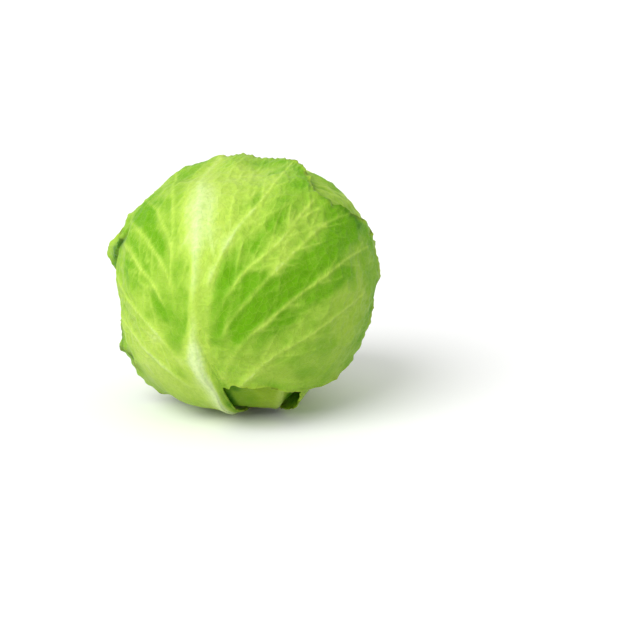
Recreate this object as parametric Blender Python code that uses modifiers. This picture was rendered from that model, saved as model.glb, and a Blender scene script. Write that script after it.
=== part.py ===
"""A whole head of green crisphead lettuce, standing on its cut stem.

Metres, +Z up. The origin is the middle of the cut face of the stem, on the surface that the head stands on.
The front of the head faces -Y. Azimuths run from the front towards +X, and polar angles run up from the stem.
"""

import math
from dataclasses import dataclass, replace

import bmesh
import bpy
import numpy as np
from mathutils import Vector
from mathutils.bvhtree import BVHTree

# Driving dimensions of the head
CENTRE_HEIGHT = 0.0770  # middle of the ball above the surface
HEART_RADIUS = 0.0747  # the ball that the wrapper leaves lie on
LEAF_SCALE = 0.080  # radius at which a flat leaf keeps its lengths when it is laid on the ball
STEM_OPENING = 16.0  # polar angle, in degrees, that the leaf bases leave free round the stem
OPENING_FADE = 24.0  # polar angle over which the leaves are bent back to their own places

# Places where the ball is fuller or flatter than round: azimuth, polar angle, spread in degrees, height in metres
LUMPS = (
    (0, 0, 24, -0.0255),
    (26, 26, 15, 0.0095),
    (-62, 34, 17, 0.0022),
    (0, 180, 26, -0.0155),
    (-112, 142, 32, -0.0075),
    (-118, 154, 14, 0.0042),
    (95, 122, 34, 0.0030),
    (-98, 80, 26, -0.0075),
    (-92, 91, 16, -0.0045),
    (165, 105, 40, 0.0020),
)

# Leaves
BLADE = 0.0009  # thickness of the blade
LEAF_GAP = 0.0008  # between a leaf and what it lies on
TIP_ROUNDNESS = 2  # the higher, the shorter the stretch of edge that reaches as far as the tip
BASE_ROUNDNESS = 4
RIB_HEIGHT = 0.0040  # midrib over the blade, at the leaf's base
RIB_WIDTH_BASE = 0.0130
RIB_WIDTH_TIP = 0.0040
RIB_TAPER = 1.6
PLEAT_HEIGHT = 0.0018
PLEAT_STEP = 15.0  # degrees between the main side ribs, seen from a point under the base
PLEAT_ORIGIN = 0.030  # that point lies this far under the base
CURL_WIDTH = 0.024  # strip along the edge that waves
CURL_REST = 0.1  # share of its lift that the edge keeps between the waves
HIDDEN_MARGIN = 0.006  # how far past its edge a leaf still holds down the edge below it
TOOTH_DEPTH = 2.2  # degrees by which the deepest notches of the edge stand back
TOOTH_RHYTHM = 17  # times round the leaf that the notches grow deep and shallow
TENSION = 0.4  # share of its hollows that a draped leaf is drawn over in each pass
DRAPE_PASSES = 12
BASE_CORNER = 162.0  # where the sides of the leaf begin and end, in degrees round from its tip
TIP_CORNER = 55.0
SAMPLES = 4  # points felt along each side of a leaf's cell when it is draped
FELT_PAST_EDGE = 4.0  # degrees beyond its edge that a leaf also feels

# Heart
HEART_GAP = 0.0006  # between the ball and the heart's outermost leaf
HEART_STEP = 0.0011  # height of a heart leaf's edge
HEART_EDGE = 0.004
HEART_LEAVES = 6
HEART_TURN = 137.5
HEART_SEGMENTS = 36
HEART_RINGS = 22

# Stem
STEM_RADIUS = 0.0145
STEM_CHAMFER = 0.0012
STEM_SHOULDER = 0.019
STEM_TOP = 0.046
STEM_TOP_RADIUS = 0.006
STEM_GAP = 0.0005
STEM_SIDES = 36

COLOURS = {
    "wrapper": (0.36, 0.56, 0.09, 1),
    "under": (0.24, 0.44, 0.06, 1),
    "heart": (0.55, 0.66, 0.22, 1),
    "stem": (0.72, 0.74, 0.48, 1),
}


@dataclass(frozen=True)
class Swell:
    """A stretch of a leaf's edge that reaches further or less far, or stands off more: all angles in degrees."""

    at: float
    width: float
    reach: float = 0.0
    lift: float = 0.0
    power: int = 2


@dataclass(frozen=True)
class Leaf:
    """One wrapper leaf. Angles are in degrees: tip, right, left and base are how far it reaches from its middle."""

    name: str
    azimuth: float
    polar: float
    lean: float
    tip: float
    right: float
    left: float
    base: float = 86.0
    waves: int = 11
    lift: float = 0.0026
    phase: float = 0.0
    columns: int = 20
    rows: int = 16
    colour: str = "wrapper"
    swells: tuple = ()


# From the innermost to the outermost
LEAVES = (
    Leaf("wrapper_leaf_1", azimuth=178, polar=92, lean=0, tip=84, right=80, left=78, phase=1.3, colour="under"),
    Leaf("wrapper_leaf_2", azimuth=-82, polar=90, lean=-4, tip=86, right=80, left=82, phase=0.4, colour="under"),
    Leaf("wrapper_leaf_3", azimuth=24, polar=90, lean=3, tip=88, right=82, left=80, phase=2.2, colour="under"),
    Leaf("wrapper_leaf_4", azimuth=-143, polar=91, lean=5, tip=88, right=79, left=80, phase=2.9, waves=10),
    Leaf("wrapper_leaf_5", azimuth=118, polar=91, lean=-6, tip=90, right=82, left=80, phase=0.9, waves=12),
    Leaf(
        "wrapper_leaf_6",
        azimuth=-19,
        polar=90,
        lean=5,
        tip=107,
        right=112,
        left=76,
        phase=2.6,
        columns=30,
        rows=22,
        swells=(
            Swell(at=46, width=16, reach=-20, lift=0.001),
            Swell(at=156, width=19, reach=-46, lift=0.002, power=4),
            Swell(at=105, width=30, reach=-8, lift=-0.003),
            Swell(at=-75, width=7, reach=6, lift=0.006),
            Swell(at=-130, width=22, reach=-8, lift=0.003),
        ),
    ),
)
HEART_LEAF = Leaf("heart_leaf", azimuth=0, polar=96, lean=0, tip=92, right=74, left=74)


def smooth_step(value):
    t = np.clip(value, 0, 1)
    return t * t * (3 - 2 * t)


def direction(azimuth, polar):
    """Unit vector from the middle of the ball, and the upward and rightward directions there."""
    a, p = math.radians(azimuth), math.radians(polar)
    out = np.array([math.sin(a) * math.sin(p), -math.cos(a) * math.sin(p), -math.cos(p)])
    up = np.array([math.sin(a) * math.cos(p), -math.cos(a) * math.cos(p), math.sin(p)])
    right = np.array([math.cos(a), math.sin(a), 0.0])
    return out, up, right


def ball_radius(directions):
    """Radius of the ball under the first wrapper leaf."""
    radius = np.full(len(directions), HEART_RADIUS)
    for azimuth, polar, spread, height in LUMPS:
        away = np.arccos(np.clip(directions @ direction(azimuth, polar)[0], -1, 1))
        radius += height * np.exp(-((away / math.radians(spread)) ** 2))
    return radius


# The base of every leaf is bent clear of the stem: a polar angle becomes a slightly larger one near the stem
PLAIN = np.radians(np.linspace(0, 180, 721))
OPENED = PLAIN + math.radians(STEM_OPENING) * np.exp(-PLAIN / math.radians(OPENING_FADE))


def bend_polar(directions, source, target):
    """The same directions with their polar angles taken from one list to the other."""
    polar = np.arccos(np.clip(-directions[:, 2], -1, 1))
    bent = np.interp(polar, source, target)
    flat = np.hypot(directions[:, 0], directions[:, 1])
    scale = np.sin(bent) / np.maximum(flat, 1e-9)
    return np.column_stack([directions[:, 0] * scale, directions[:, 1] * scale, -np.cos(bent)])


def leaf_axes(leaf):
    """Directions out of the leaf's middle, along its midrib to the tip, and across it to the right."""
    out, up, right = direction(leaf.azimuth, leaf.polar)
    lean = math.radians(leaf.lean)
    along = up * math.cos(lean) - right * math.sin(lean)
    across = right * math.cos(lean) + up * math.sin(lean)
    return out, along, across


def swollen(leaf, angle, what):
    """Sum of the leaf's swells at an angle clockwise from its tip: their reach or their lift."""
    total = np.zeros(np.shape(angle))
    for swell in leaf.swells:
        away = (np.degrees(angle) - swell.at + 180) % 360 - 180
        total = total + getattr(swell, what) * np.exp(-((away / swell.width) ** swell.power))
    return total


def outline(leaf, angle):
    """How far the leaf reaches from its middle, in radians, at an angle clockwise from its tip."""
    up, side = np.cos(angle), np.sin(angle)
    middle = (leaf.right + leaf.left) / 2 + (leaf.right - leaf.left) / 2 * side
    reach = middle + (leaf.tip - middle) * np.clip(up, 0, 1) ** TIP_ROUNDNESS
    reach = reach + (leaf.base - middle) * np.clip(-up, 0, 1) ** BASE_ROUNDNESS
    return np.radians(reach + swollen(leaf, angle, "reach"))


def lay(leaf, distance, angle):
    """Directions on the ball of points of the flat leaf, given by their distance and angle from its middle."""
    out, along, across = leaf_axes(leaf)
    sideways = np.outer(np.sin(angle), across) + np.outer(np.cos(angle), along)
    plain = np.outer(np.cos(distance), out) + np.sin(distance)[:, None] * sideways
    return bend_polar(plain, PLAIN, OPENED)


def lift_off(leaf, directions):
    """The opposite of lay: distance and angle on the flat leaf of directions on the ball."""
    out, along, across = leaf_axes(leaf)
    plain = bend_polar(directions, OPENED, PLAIN)
    distance = np.arccos(np.clip(plain @ out, -1, 1))
    return distance, np.arctan2(plain @ across, plain @ along)


def cover(leaf, distance, angle, overhang, slope):
    """1 where the leaf lies, falling to 0 past its edge."""
    inside = (outline(leaf, angle) - distance) * LEAF_SCALE
    return smooth_step((inside + overhang + slope) / slope)


def rib(leaf, distance, angle):
    """Height of the midrib over the blade."""
    reach_base = outline(leaf, np.full(1, math.pi))[0]
    reach_tip = outline(leaf, np.zeros(1))[0]
    along = np.clip((distance * np.cos(angle) + reach_base) / (reach_base + reach_tip), 0, 1)
    across = distance * np.sin(angle) * LEAF_SCALE
    width = RIB_WIDTH_BASE + (RIB_WIDTH_TIP - RIB_WIDTH_BASE) * along
    return RIB_HEIGHT * (1 - along) ** RIB_TAPER * np.exp(-((across / width) ** 2))


def pleat(leaf, distance, angle):
    """Low folds that fan out from the base, with a side rib on each crest."""
    base = outline(leaf, np.full(1, math.pi))[0] + PLEAT_ORIGIN / LEAF_SCALE
    across, along = distance * np.sin(angle), distance * np.cos(angle) + base
    fan = np.degrees(np.arctan2(across, along))
    grown = smooth_step(along / base)
    return PLEAT_HEIGHT * grown * (0.5 + 0.5 * np.cos(2 * math.pi * fan / PLEAT_STEP)) ** 2


def edge_wave(leaf, distance, angle):
    """How far the waved edge stands off what it lies on."""
    from_edge = (outline(leaf, angle) - distance) * LEAF_SCALE
    near = np.clip(1 - from_edge / CURL_WIDTH, 0, 1) ** 2
    wave = 0.5 + 0.5 * np.cos(leaf.waves * angle + leaf.phase)
    clear_of_base = 1 - np.clip(-np.cos(angle), 0, 1) ** (2 * BASE_ROUNDNESS)
    lift = leaf.lift * (CURL_REST + (1 - CURL_REST) * wave) + swollen(leaf, angle, "lift")
    return np.maximum(lift, 0) * near * clear_of_base


def disc_grid(columns, rows):
    """Points of a grid on the unit disc. Its lower side is the leaf's base, and its columns fan out from there."""

    def rim(degrees):
        return np.stack([np.sin(np.radians(degrees)), np.cos(np.radians(degrees))], axis=-1)

    s, t = np.meshgrid(np.linspace(-1, 1, columns + 1), np.linspace(0, 1, rows + 1))
    s, t = s.ravel(), t.ravel()
    across, up = ((s + 1) / 2)[:, None], t[:, None]
    side = BASE_CORNER + (TIP_CORNER - BASE_CORNER) * t
    foot, head = rim(180 - (180 - BASE_CORNER) * s), rim(TIP_CORNER * s)
    left, right = rim(-side), rim(side)
    low_left, low_right = rim(np.array([-BASE_CORNER, BASE_CORNER]))
    top_left, top_right = rim(np.array([-TIP_CORNER, TIP_CORNER]))
    corners = (1 - up) * ((1 - across) * low_left + across * low_right)
    corners = corners + up * ((1 - across) * top_left + across * top_right)
    return (1 - up) * foot + up * head + (1 - across) * left + across * right - corners


def grid_on_leaf(leaf, columns, rows):
    """Distance and angle from the leaf's middle of the points of a grid over the whole leaf."""
    flat = disc_grid(columns, rows)
    angle = np.arctan2(flat[:, 0], flat[:, 1])
    return np.hypot(flat[:, 0], flat[:, 1]) * outline(leaf, angle), angle


def toothed(leaf, distance, angle):
    """The same distances with every other point of the edge set back, clear of the base and the corners."""
    index = np.arange(len(distance)).reshape(leaf.rows + 1, leaf.columns + 1)
    edge = np.concatenate([index[2:-1:2, 0], index[2:-1:2, -1], index[-1, 2:-1:2]])
    set_back = distance.copy()
    set_back[edge] -= math.radians(TOOTH_DEPTH) * (0.5 + 0.5 * np.sin(TOOTH_RHYTHM * angle[edge] + leaf.phase))
    return set_back


def outermost(trees, directions):
    """Distance from the middle of the ball to the outside of the pieces that are already there."""
    middle = Vector((0, 0, CENTRE_HEIGHT))
    found = np.zeros(len(directions))
    for number, out in enumerate(directions):
        start = middle + Vector(out) * 2 * HEART_RADIUS
        for tree in trees:
            hit = tree.ray_cast(start, -Vector(out), 2 * HEART_RADIUS)[0]
            if hit:
                found[number] = max(found[number], (hit - middle).length)
    return found


def hat_weights(cells):
    """Share of each grid point in the points felt between them, along one side of the grid."""
    place = np.arange(cells * SAMPLES + 1)[:, None] / SAMPLES
    return np.clip(1 - abs(place - np.arange(cells + 1)), 0, None)


def draped(leaf, trees):
    """Radius at each grid point of a leaf laid over the pieces, clear of all that it feels between those points."""
    across, up = hat_weights(leaf.columns), hat_weights(leaf.rows)
    shape = (leaf.rows + 1, leaf.columns + 1)
    distance, angle = grid_on_leaf(leaf, leaf.columns, leaf.rows)
    needed = 0
    for past in (math.radians(FELT_PAST_EDGE), 0):
        corners = lay(leaf, distance * (1 + past / outline(leaf, angle)), angle)
        felt = np.stack([up @ corners[:, axis].reshape(shape) @ across.T for axis in range(3)], axis=-1)
        chord = np.linalg.norm(felt, axis=-1)
        found = outermost(trees, (felt / chord[..., None]).reshape(-1, 3)).reshape(chord.shape)
        needed = np.maximum(needed, (found + LEAF_GAP) / chord)
    ball = ball_radius(corners).reshape(shape)
    height = needed[::SAMPLES, ::SAMPLES] - ball
    steepness = np.outer((up**2).sum(axis=1), (across**2).sum(axis=1))
    reach = SAMPLES - 1
    hat = 1 - abs(np.arange(-reach, reach + 1)) / SAMPLES
    for _ in range(DRAPE_PASSES):
        edged = np.pad(height, 1, mode="edge")
        around = (edged[:-2, 1:-1] + edged[2:, 1:-1] + edged[1:-1, :-2] + edged[1:-1, 2:]) / 4
        height += TENSION * np.clip(around - height, 0, None)
        short = np.clip(needed - up @ (ball + height) @ across.T, 0, None) / steepness
        windows = np.lib.stride_tricks.sliding_window_view(np.pad(short, reach), (len(hat), len(hat)))
        height += (windows * np.outer(hat, hat)).max(axis=(2, 3))[::SAMPLES, ::SAMPLES]
    return (ball + height).ravel()


def link(obj, collection):
    for owner in list(obj.users_collection):
        owner.objects.unlink(obj)
    collection.objects.link(obj)
    return obj


def material(name):
    made = bpy.data.materials.get(name)
    if made is None:
        made = bpy.data.materials.new(name)
        made.use_nodes = True
        shader = made.node_tree.nodes["Principled BSDF"]
        shader.inputs["Base Color"].default_value = COLOURS[name]
        shader.inputs["Roughness"].default_value = 0.45
        shader.inputs["Metallic"].default_value = 0.0
    return made


def tree_of(obj):
    """Search tree of an object with its modifiers."""
    bpy.context.view_layer.update()
    return BVHTree.FromObject(obj, bpy.context.evaluated_depsgraph_get())


def add_leaf(index, trees, collection):
    """A flat grid draped over the head and given its thickness, which is greatest along the midrib."""
    leaf = LEAVES[index]
    bpy.ops.mesh.primitive_grid_add(x_subdivisions=leaf.columns, y_subdivisions=leaf.rows, size=2)
    obj = link(bpy.context.object, collection)
    obj.name = leaf.name
    distance, angle = grid_on_leaf(leaf, leaf.columns, leaf.rows)
    directions = lay(leaf, distance, angle)
    uncovered = np.ones(len(directions))
    for above in LEAVES[index + 1 :]:
        uncovered *= 1 - cover(above, *lift_off(above, directions), HIDDEN_MARGIN, 2 * HIDDEN_MARGIN)
    radius = draped(leaf, trees) + pleat(leaf, distance, angle)
    radius += edge_wave(leaf, distance, angle) * uncovered
    points = lay(leaf, toothed(leaf, distance, angle), angle) * radius[:, None]
    points[:, 2] += CENTRE_HEIGHT
    obj.data.vertices.foreach_set("co", points.astype(np.float32).ravel())

    thick = obj.vertex_groups.new(name="thickness")
    full = BLADE + RIB_HEIGHT
    for vertex, height in enumerate(BLADE + rib(leaf, distance, angle)):
        thick.add([vertex], height / full, "REPLACE")

    mesh = bmesh.new()
    mesh.from_mesh(obj.data)
    bmesh.ops.triangulate(mesh, faces=mesh.faces, quad_method="SHORT_EDGE")
    mesh.to_mesh(obj.data)
    mesh.free()
    solid = obj.modifiers.new("blade", "SOLIDIFY")
    solid.thickness = full
    solid.offset = 1
    solid.vertex_group = thick.name
    solid.thickness_vertex_group = 0
    obj.data.materials.append(material(leaf.colour))
    obj.data.shade_smooth()
    return obj


def heart_relief(directions):
    """How far the folded leaves of the heart stand back from the wrapper leaves."""
    layers = np.zeros(len(directions))
    for number in range(HEART_LEAVES):
        folded = replace(HEART_LEAF, azimuth=number * HEART_TURN)
        there = lift_off(folded, directions)
        layers += cover(folded, *there, 0, HEART_EDGE) + rib(folded, *there) / RIB_HEIGHT
    return HEART_GAP + HEART_STEP * np.clip(HEART_LEAVES / 2 + 1 - layers, 0, None)


def stem_profile(grown):
    """Half outline of the stem from the top down to the cut, as radius and height."""
    return (
        (0, STEM_TOP + grown),
        (STEM_TOP_RADIUS + grown, STEM_TOP + grown),
        (STEM_RADIUS + grown, STEM_SHOULDER),
        (STEM_RADIUS + grown, STEM_CHAMFER),
        (STEM_RADIUS - STEM_CHAMFER + grown, -grown),
        (0, -grown),
    )


def add_turned(name, profile, collection):
    """A profile turned round the Z axis."""
    mesh = bpy.data.meshes.new(name)
    mesh.from_pydata([(r, 0, z) for r, z in profile], [(i, i + 1) for i in range(len(profile) - 1)], [])
    obj = bpy.data.objects.new(name, mesh)
    collection.objects.link(obj)
    turn = obj.modifiers.new("turn", "SCREW")
    turn.steps = turn.render_steps = STEM_SIDES
    turn.use_merge_vertices = True
    turn.merge_threshold = 0.00005
    turn.use_normal_calculate = True
    return obj


def add_stem(collection):
    obj = add_turned("stem", stem_profile(0), collection)
    obj.data.materials.append(material("stem"))
    return obj


def add_heart(collection, cutters):
    """The ball of folded inner leaves, hollowed where the stem runs up into it."""
    bpy.ops.mesh.primitive_uv_sphere_add(segments=HEART_SEGMENTS, ring_count=HEART_RINGS, radius=1)
    obj = link(bpy.context.object, collection)
    obj.name = "heart"
    co = np.empty(len(obj.data.vertices) * 3)
    obj.data.vertices.foreach_get("co", co)
    directions = co.reshape(-1, 3)
    directions /= np.linalg.norm(directions, axis=1)[:, None]
    points = directions * (ball_radius(directions) - heart_relief(directions))[:, None]
    points[:, 2] += CENTRE_HEIGHT
    obj.data.vertices.foreach_set("co", points.ravel())

    cutter = add_turned("stem_cutter", stem_profile(STEM_GAP), cutters)
    cutter.hide_render = True
    cutter.display_type = "WIRE"
    hollow = obj.modifiers.new("stem_hollow", "BOOLEAN")
    hollow.operation = "DIFFERENCE"
    hollow.solver = "EXACT"
    hollow.object = cutter
    obj.data.materials.append(material("heart"))
    obj.data.shade_smooth()
    return obj


def main():
    for obj in list(bpy.data.objects):
        bpy.data.objects.remove(obj, do_unlink=True)
    scene = bpy.context.scene
    parts = bpy.data.collections.new("crisphead_lettuce")
    cutters = bpy.data.collections.new("cutters")
    for collection in (parts, cutters):
        scene.collection.children.link(collection)
    add_stem(parts)
    trees = [tree_of(add_heart(parts, cutters))]
    for index in range(len(LEAVES)):
        trees.append(tree_of(add_leaf(index, trees, parts)))


main()
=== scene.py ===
"""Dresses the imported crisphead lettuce: ribbed leaves with ragged edges, the heart, the cut stem and a stage.

Metres, +Z up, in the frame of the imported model. The front of the head faces -Y. Azimuths run from the front
towards +X, and polar angles run up from the stem. Every leaf is worked out flat, as points across and along
it from its middle, and then laid on the ball of the head.
"""

import math
from dataclasses import dataclass, replace

import bpy
import numpy as np
from bpy.props import FloatProperty, FloatVectorProperty, PointerProperty
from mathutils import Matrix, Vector
from mathutils.bvhtree import BVHTree


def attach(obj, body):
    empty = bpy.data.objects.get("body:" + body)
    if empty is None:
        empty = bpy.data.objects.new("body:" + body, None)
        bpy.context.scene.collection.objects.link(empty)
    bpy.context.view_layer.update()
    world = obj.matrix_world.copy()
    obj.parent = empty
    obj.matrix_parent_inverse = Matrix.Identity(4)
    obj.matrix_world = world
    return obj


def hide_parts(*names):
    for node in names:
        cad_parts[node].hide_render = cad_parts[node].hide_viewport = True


bl_info = {
    "name": "Crisphead lettuce",
    "version": (1, 0, 0),
    "blender": (4, 5, 0),
    "location": "View3D > Sidebar > Lettuce",
    "description": "Adds a head of crisphead lettuce leaf by leaf",
    "category": "Add Mesh",
}

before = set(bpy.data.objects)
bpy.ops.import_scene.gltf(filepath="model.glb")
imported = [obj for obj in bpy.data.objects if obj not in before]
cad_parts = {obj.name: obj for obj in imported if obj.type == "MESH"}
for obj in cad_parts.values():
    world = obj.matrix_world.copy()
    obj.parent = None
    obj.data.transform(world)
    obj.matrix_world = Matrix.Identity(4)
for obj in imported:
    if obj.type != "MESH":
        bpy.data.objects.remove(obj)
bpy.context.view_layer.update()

MILLIMETRES = 1000
MAP_SCALE = 10
TINY = 1e-6

# The ball that the leaves lie on
CENTRE_HEIGHT = 0.0770
CENTRE = np.array((0, 0, CENTRE_HEIGHT))
HEART_RADIUS = 0.0747
LEAF_SCALE = 0.080

# How far a leaf's base is bent clear of the stem, and its last stretch back in to it, in degrees
STEM_OPENING = 16.0
OPENING_FADE = 24.0
STEM_JOIN = 8.0
POLAR_STEPS = 721

# Broad lumps and hollows of the ball: azimuth, polar angle and spread in degrees, and height
LUMPS = (
    (0, 0, 24, -0.0255),
    (26, 26, 15, 0.0095),
    (-62, 34, 17, 0.0022),
    (0, 180, 26, -0.0155),
    (-112, 142, 32, -0.0075),
    (-118, 154, 14, 0.0042),
    (95, 122, 34, 0.0030),
    (-98, 80, 26, -0.0075),
    (-92, 91, 16, -0.0045),
    (165, 105, 40, 0.0020),
)

# Small dents and swellings of the whole head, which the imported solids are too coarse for, given the same way
DENTS = (
    (-78, 84, 9, -0.0035),
    (-118, 148, 12, 0.0020),
    (127, 157, 12, -0.0006),
    (-120, 153, 7, 0.0011),
    (-35, 34, 10, 0.0024),
    (180, 165, 12, -0.0018),
    (-60, 28, 12, 0.0020),
    (-103, 117, 6, 0.0020),
)

# Outline of a leaf, and the corners of the grid that fills it, in degrees from its tip
TIP_ROUNDNESS = 2
BASE_ROUNDNESS = 4
BASE_CORNER = 162.0
TIP_CORNER = 55.0

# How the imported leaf's inner face is read, carried on past its edge and made smooth
RAY_LENGTH = 0.2
FIRST_SPREAD = 2.0
SPREAD_GROWTH = 1.5
ENOUGH_FOUND = 0.02
FELT_SMOOTHING = 0.0034
BROAD_SMOOTHING = 2.4
NOTCH_REACH = 0.80
NOTCH_FADE = 0.25

# Noise repeats after this many hills, and a pocket's middle keeps off the sides of its cell. Each pattern
# adds a number of its own to its leaf's seed.
NOISE_CELLS = 61
EDGE_SEED = 7
RIB_SEED = 500
POCKET_MIDDLE = (0.12, 0.88)
FAR_OFF = 9.0

# Branches of a rib: lengths as shares of their parent's, angles in degrees
BRANCH_STEP = 0.010
BRANCH_POINTS = 6
BRANCH_WIDTH = 0.5
BRANCH_HEIGHT = 0.62
BRANCH_PALE = 0.6
BRANCH_LENGTH = (0.2, 0.36)
BRANCH_FIRST_LENGTH = 1.15
BRANCH_SHORTENING = 0.55
BRANCH_THINNING = 0.35
BRANCH_TURN_BACK = -0.5
FIRST_FORK = (0.22, 0.34)
FINE_FIRST_FORK = (0.1, 0.2)
FINE_STEP = 0.7
LAST_FORK = 0.96
FORK_ANGLE = (26, 44)
FORK_SPACING = (0.7, 1.35)
STROKE_REACH = 3
PAST_EDGE = 0.05

# Side ribs of the leaves whose ribs aren't given: where they start, and how they bend outwards
RIBS_A_SIDE = 7
RIB_FOOT = -0.088
RIB_SPACING = 0.0135
RIB_UNEVENNESS = 0.003
RIB_OFF_MIDDLE = 0.004
RIB_FIRST_ANGLE = (10, 16)
RIB_LAST_ANGLE = 58
RIB_ANGLE_STEP = 4.5
RIB_ANGLE_UNEVENNESS = 4
RIB_POINTS = 26
RIB_STEP = 0.0052
RIB_TURN = 0.16
RIB_DROOP = 0.006

# A side rib and the sharper line along its middle, each at its start and at its end
RIB_WIDTH = (0.0027, 0.0014)
RIB_HEIGHT = (0.0013, 0.0004)
RIB_PALE = (0.46, 0.30)
LINE_WIDTH = (0.0012, 0.0006)
LINE_HEIGHT = (0.0015, 0.0004)
LINE_PALE = (0.66, 0.42)
RIB_LEVELS = 2
RIB_RISE = 0.35

# Midrib, with its crest and, on the front leaf, its keel: widths of its sharp right side and long left side
MIDRIB_POINTS = 60
MIDRIB_SWAY = 0.003
MIDRIB_BEND = 0.03
MIDRIB_WIDTH = 0.013
MIDRIB_NARROWING = 0.009
MIDRIB_TAPER = 1.6
MIDRIB_HEIGHT = 0.5
CREST_WIDTH = 0.0032
CREST_HEIGHT = 0.35
THIN_CREST = 0.0006
THIN_CREST_TAPER = 0.5
KEEL_CUT = 0.6
KEEL_WIDTHS = (0.0032, 0.0080)
KEEL_PALE_WIDTHS = (0.0028, 0.0065)
KEEL_TOP = 0.004
KEEL_LENGTH = 0.050
KEEL_FOOT = 0.092
KEEL_RUN_UP = 0.030
# Painted shade on the steep right side of the keel, which is made less pale: how strong, where it starts and
# how wide it reaches
KEEL_SHADE = -0.3
KEEL_SHADE_START = 0.006
KEEL_SHADE_WIDTH = 0.014

# Paleness along the midrib and over the leaf's foot
PALE_WIDTH = 0.0155
PALE_NARROWING = 0.003
PALE_FLATNESS = 4
PALE_LEAST = 0.30
PALE_STREAKS = 0.2
PALE_CREST = 0.35
PALE_KEEL = 0.5
STREAK_SIZE = 0.0032
STREAK_STRETCH = 0.1
STREAK_WIDTH = 0.5
FOOT_PALE = 0.36
FOOT_LENGTH = 0.085

# Soft strokes over a leaf: their points, and how thin and weak they are at their ends
STROKE_POINTS = 24
STROKE_FIRST_WIDTH = 0.0007
STROKE_LAST_STRENGTH = 0.8
STROKE_RISE = 0.2

# The turned-over tip of the front leaf, and the inside of its fold
FOLD_POINTS = 60
FOLD_REACH = 0.0015
FOLD_LIFT = 0.0030
FOLD_DEPTH = 0.0008
FOLD_OVER = 0.0070
FOLD_UNDER = 0.0050
FOLD_ENDS = 0.7
FOLD_RIGHT_END = -0.06

# Ragged edge: sizes of its bays, tears and teeth, and how far its pull reaches into the leaf
BAY_SIZE = 0.016
BAY_CONTRAST = 0.9
BAY_LEVEL = 0.35
BAY_DEPTH = 0.9
TEAR_SIZE = 0.007
TEAR_CONTRAST = 2.2
TEAR_LEVEL = -0.9
TEAR_DEPTH = 1.1
TOOTH_SIZE = 0.0046
TOOTH_DEPTH = 0.55
TOOTH_OFF_BAYS = 0.4
TOOTH_IN_BAYS = 0.6
TORN_REACH = 0.55
TORN_POWERS = (2, 10)

# Waved edge: sizes of its waves, how they die away inwards, and the angle over which its slant is measured
SLOW_WAVE = 0.013
QUICK_WAVE = 0.0058
QUICK_HEIGHT = 0.35
SLOW_POWER = 1.6
QUICK_POWER = 3
LIFT_POWER = 1.8
SLANT_STEP = 0.02

# Crumples: sizes of the pockets between the veins, of their shifts and of the slow rolls
SHIFT = 0.0035
SHIFT_SIZE = 0.014
POCKET_STRETCH = 0.8
BIG_POCKET = 0.0105
SMALL_POCKET = 0.0052
BIG_POCKET_RIM = 0.32
SMALL_POCKET_RIM = 0.3
SMALL_DENT = 0.45
BIG_NET_WIDTH = 0.075
SMALL_NET_WIDTH = 0.09
SMALL_NET = 0.5
BIG_ROLL = 0.026
BIG_ROLL_HEIGHT = 0.9
SMALL_ROLL = 0.013
SMALL_ROLL_HEIGHT = 0.5
FLAT_SHARE = 0.25
FLAT_BASE = 0.055
FLAT_FADE = 0.10
RIB_CALM = 0.75
RIB_CALM_HEIGHT = 0.003

# Green of the blade: how deep it is all over, in its clouds and near its edge
DEEP_GREEN = 0.30
CLOUD_SIZE = 0.034
CLOUD_DEPTH = 0.22
SMALL_CLOUD_SIZE = 0.012
SMALL_CLOUD_DEPTH = 0.12
DEEP_EDGE = 0.28
DEEP_EDGE_WIDTH = 0.035
NET_PALE = 0.09
DULL_FROM = 0.6
DULL_OVER = 0.4
DULL_BY = 0.4

# Thin edge of the blade
THIN_EDGE_WIDTH = 0.012
THIN_EDGE = 0.45
EDGE_WIDTH = 0.006

# Shade on a leaf past the edge of the one over it, and how far past that edge it still lies flat
CONTACT_SHADE = 0.95
CONTACT_WIDTH = 0.0074
CONTACT_SPREAD = 2.2
CONTACT_POWER = 3
PATCH_SIZE = 0.0042
PATCH_LEVEL = 0.82
PATCH_CONTRAST = 0.45
EVEN_SHADE = 0.4
HIDDEN_MARGIN = 0.006

# Heart: folded leaves laid one over another round the ball
HEART_LEAVES = 6
HEART_TURN = 137.5
HEART_STEP = 0.0011
HEART_EDGE = 0.0016
HEART_GAP = 0.0006
HEART_RIB = 0.35
HEART_DEEP = 0.25
HEART_DEEP_WIDTH = 0.02
HEART_EDGE_WIDTH = 0.004
HEART_EDGE_COLOUR = 0.3
HEART_SEGMENTS = 200
HEART_RINGS = 130

# Stem: a stub with a cone above it, scars round its side, and the rings of the cut on its foot
STEM_RADIUS = 0.0145
STEM_SHOULDER = 0.019
STEM_TOP = 0.046
STEM_TOP_RADIUS = 0.006
STEM_SIDES = 96
STEM_CUTS = 9
CUT_RINGS = (0.0012, 0.0012, 0.0018, 0.0022, 0.0026, 0.0024)
SCAR_SPACING = 0.0062
SCAR_SLANT = 0.5
SCARS_ROUND = 3
SCAR_DEPTH = 0.022
RIM_DEPTH = 0.05
RIM_HEIGHT = 0.0016
FOOT_HEIGHT = 0.0005
DISH_DEPTH = 0.0007
DISH_SHARE = 0.8
ROUGH_SHARE = 0.9
ROUGH_SIZE = 0.0021
ROUGH_HEIGHT = 0.00016
ROUGH_SEED = 5

# Colours of the cut stem
FLESH = (0.74, 0.72, 0.46)
OLD_FLESH = (0.62, 0.62, 0.34)
GREEN_RING = (0.50, 0.58, 0.24)
BROWN_RIM = (0.46, 0.27, 0.11)
BLUSH = (0.62, 0.40, 0.20)
STEM_SIDE = (0.58, 0.66, 0.32)

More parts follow.
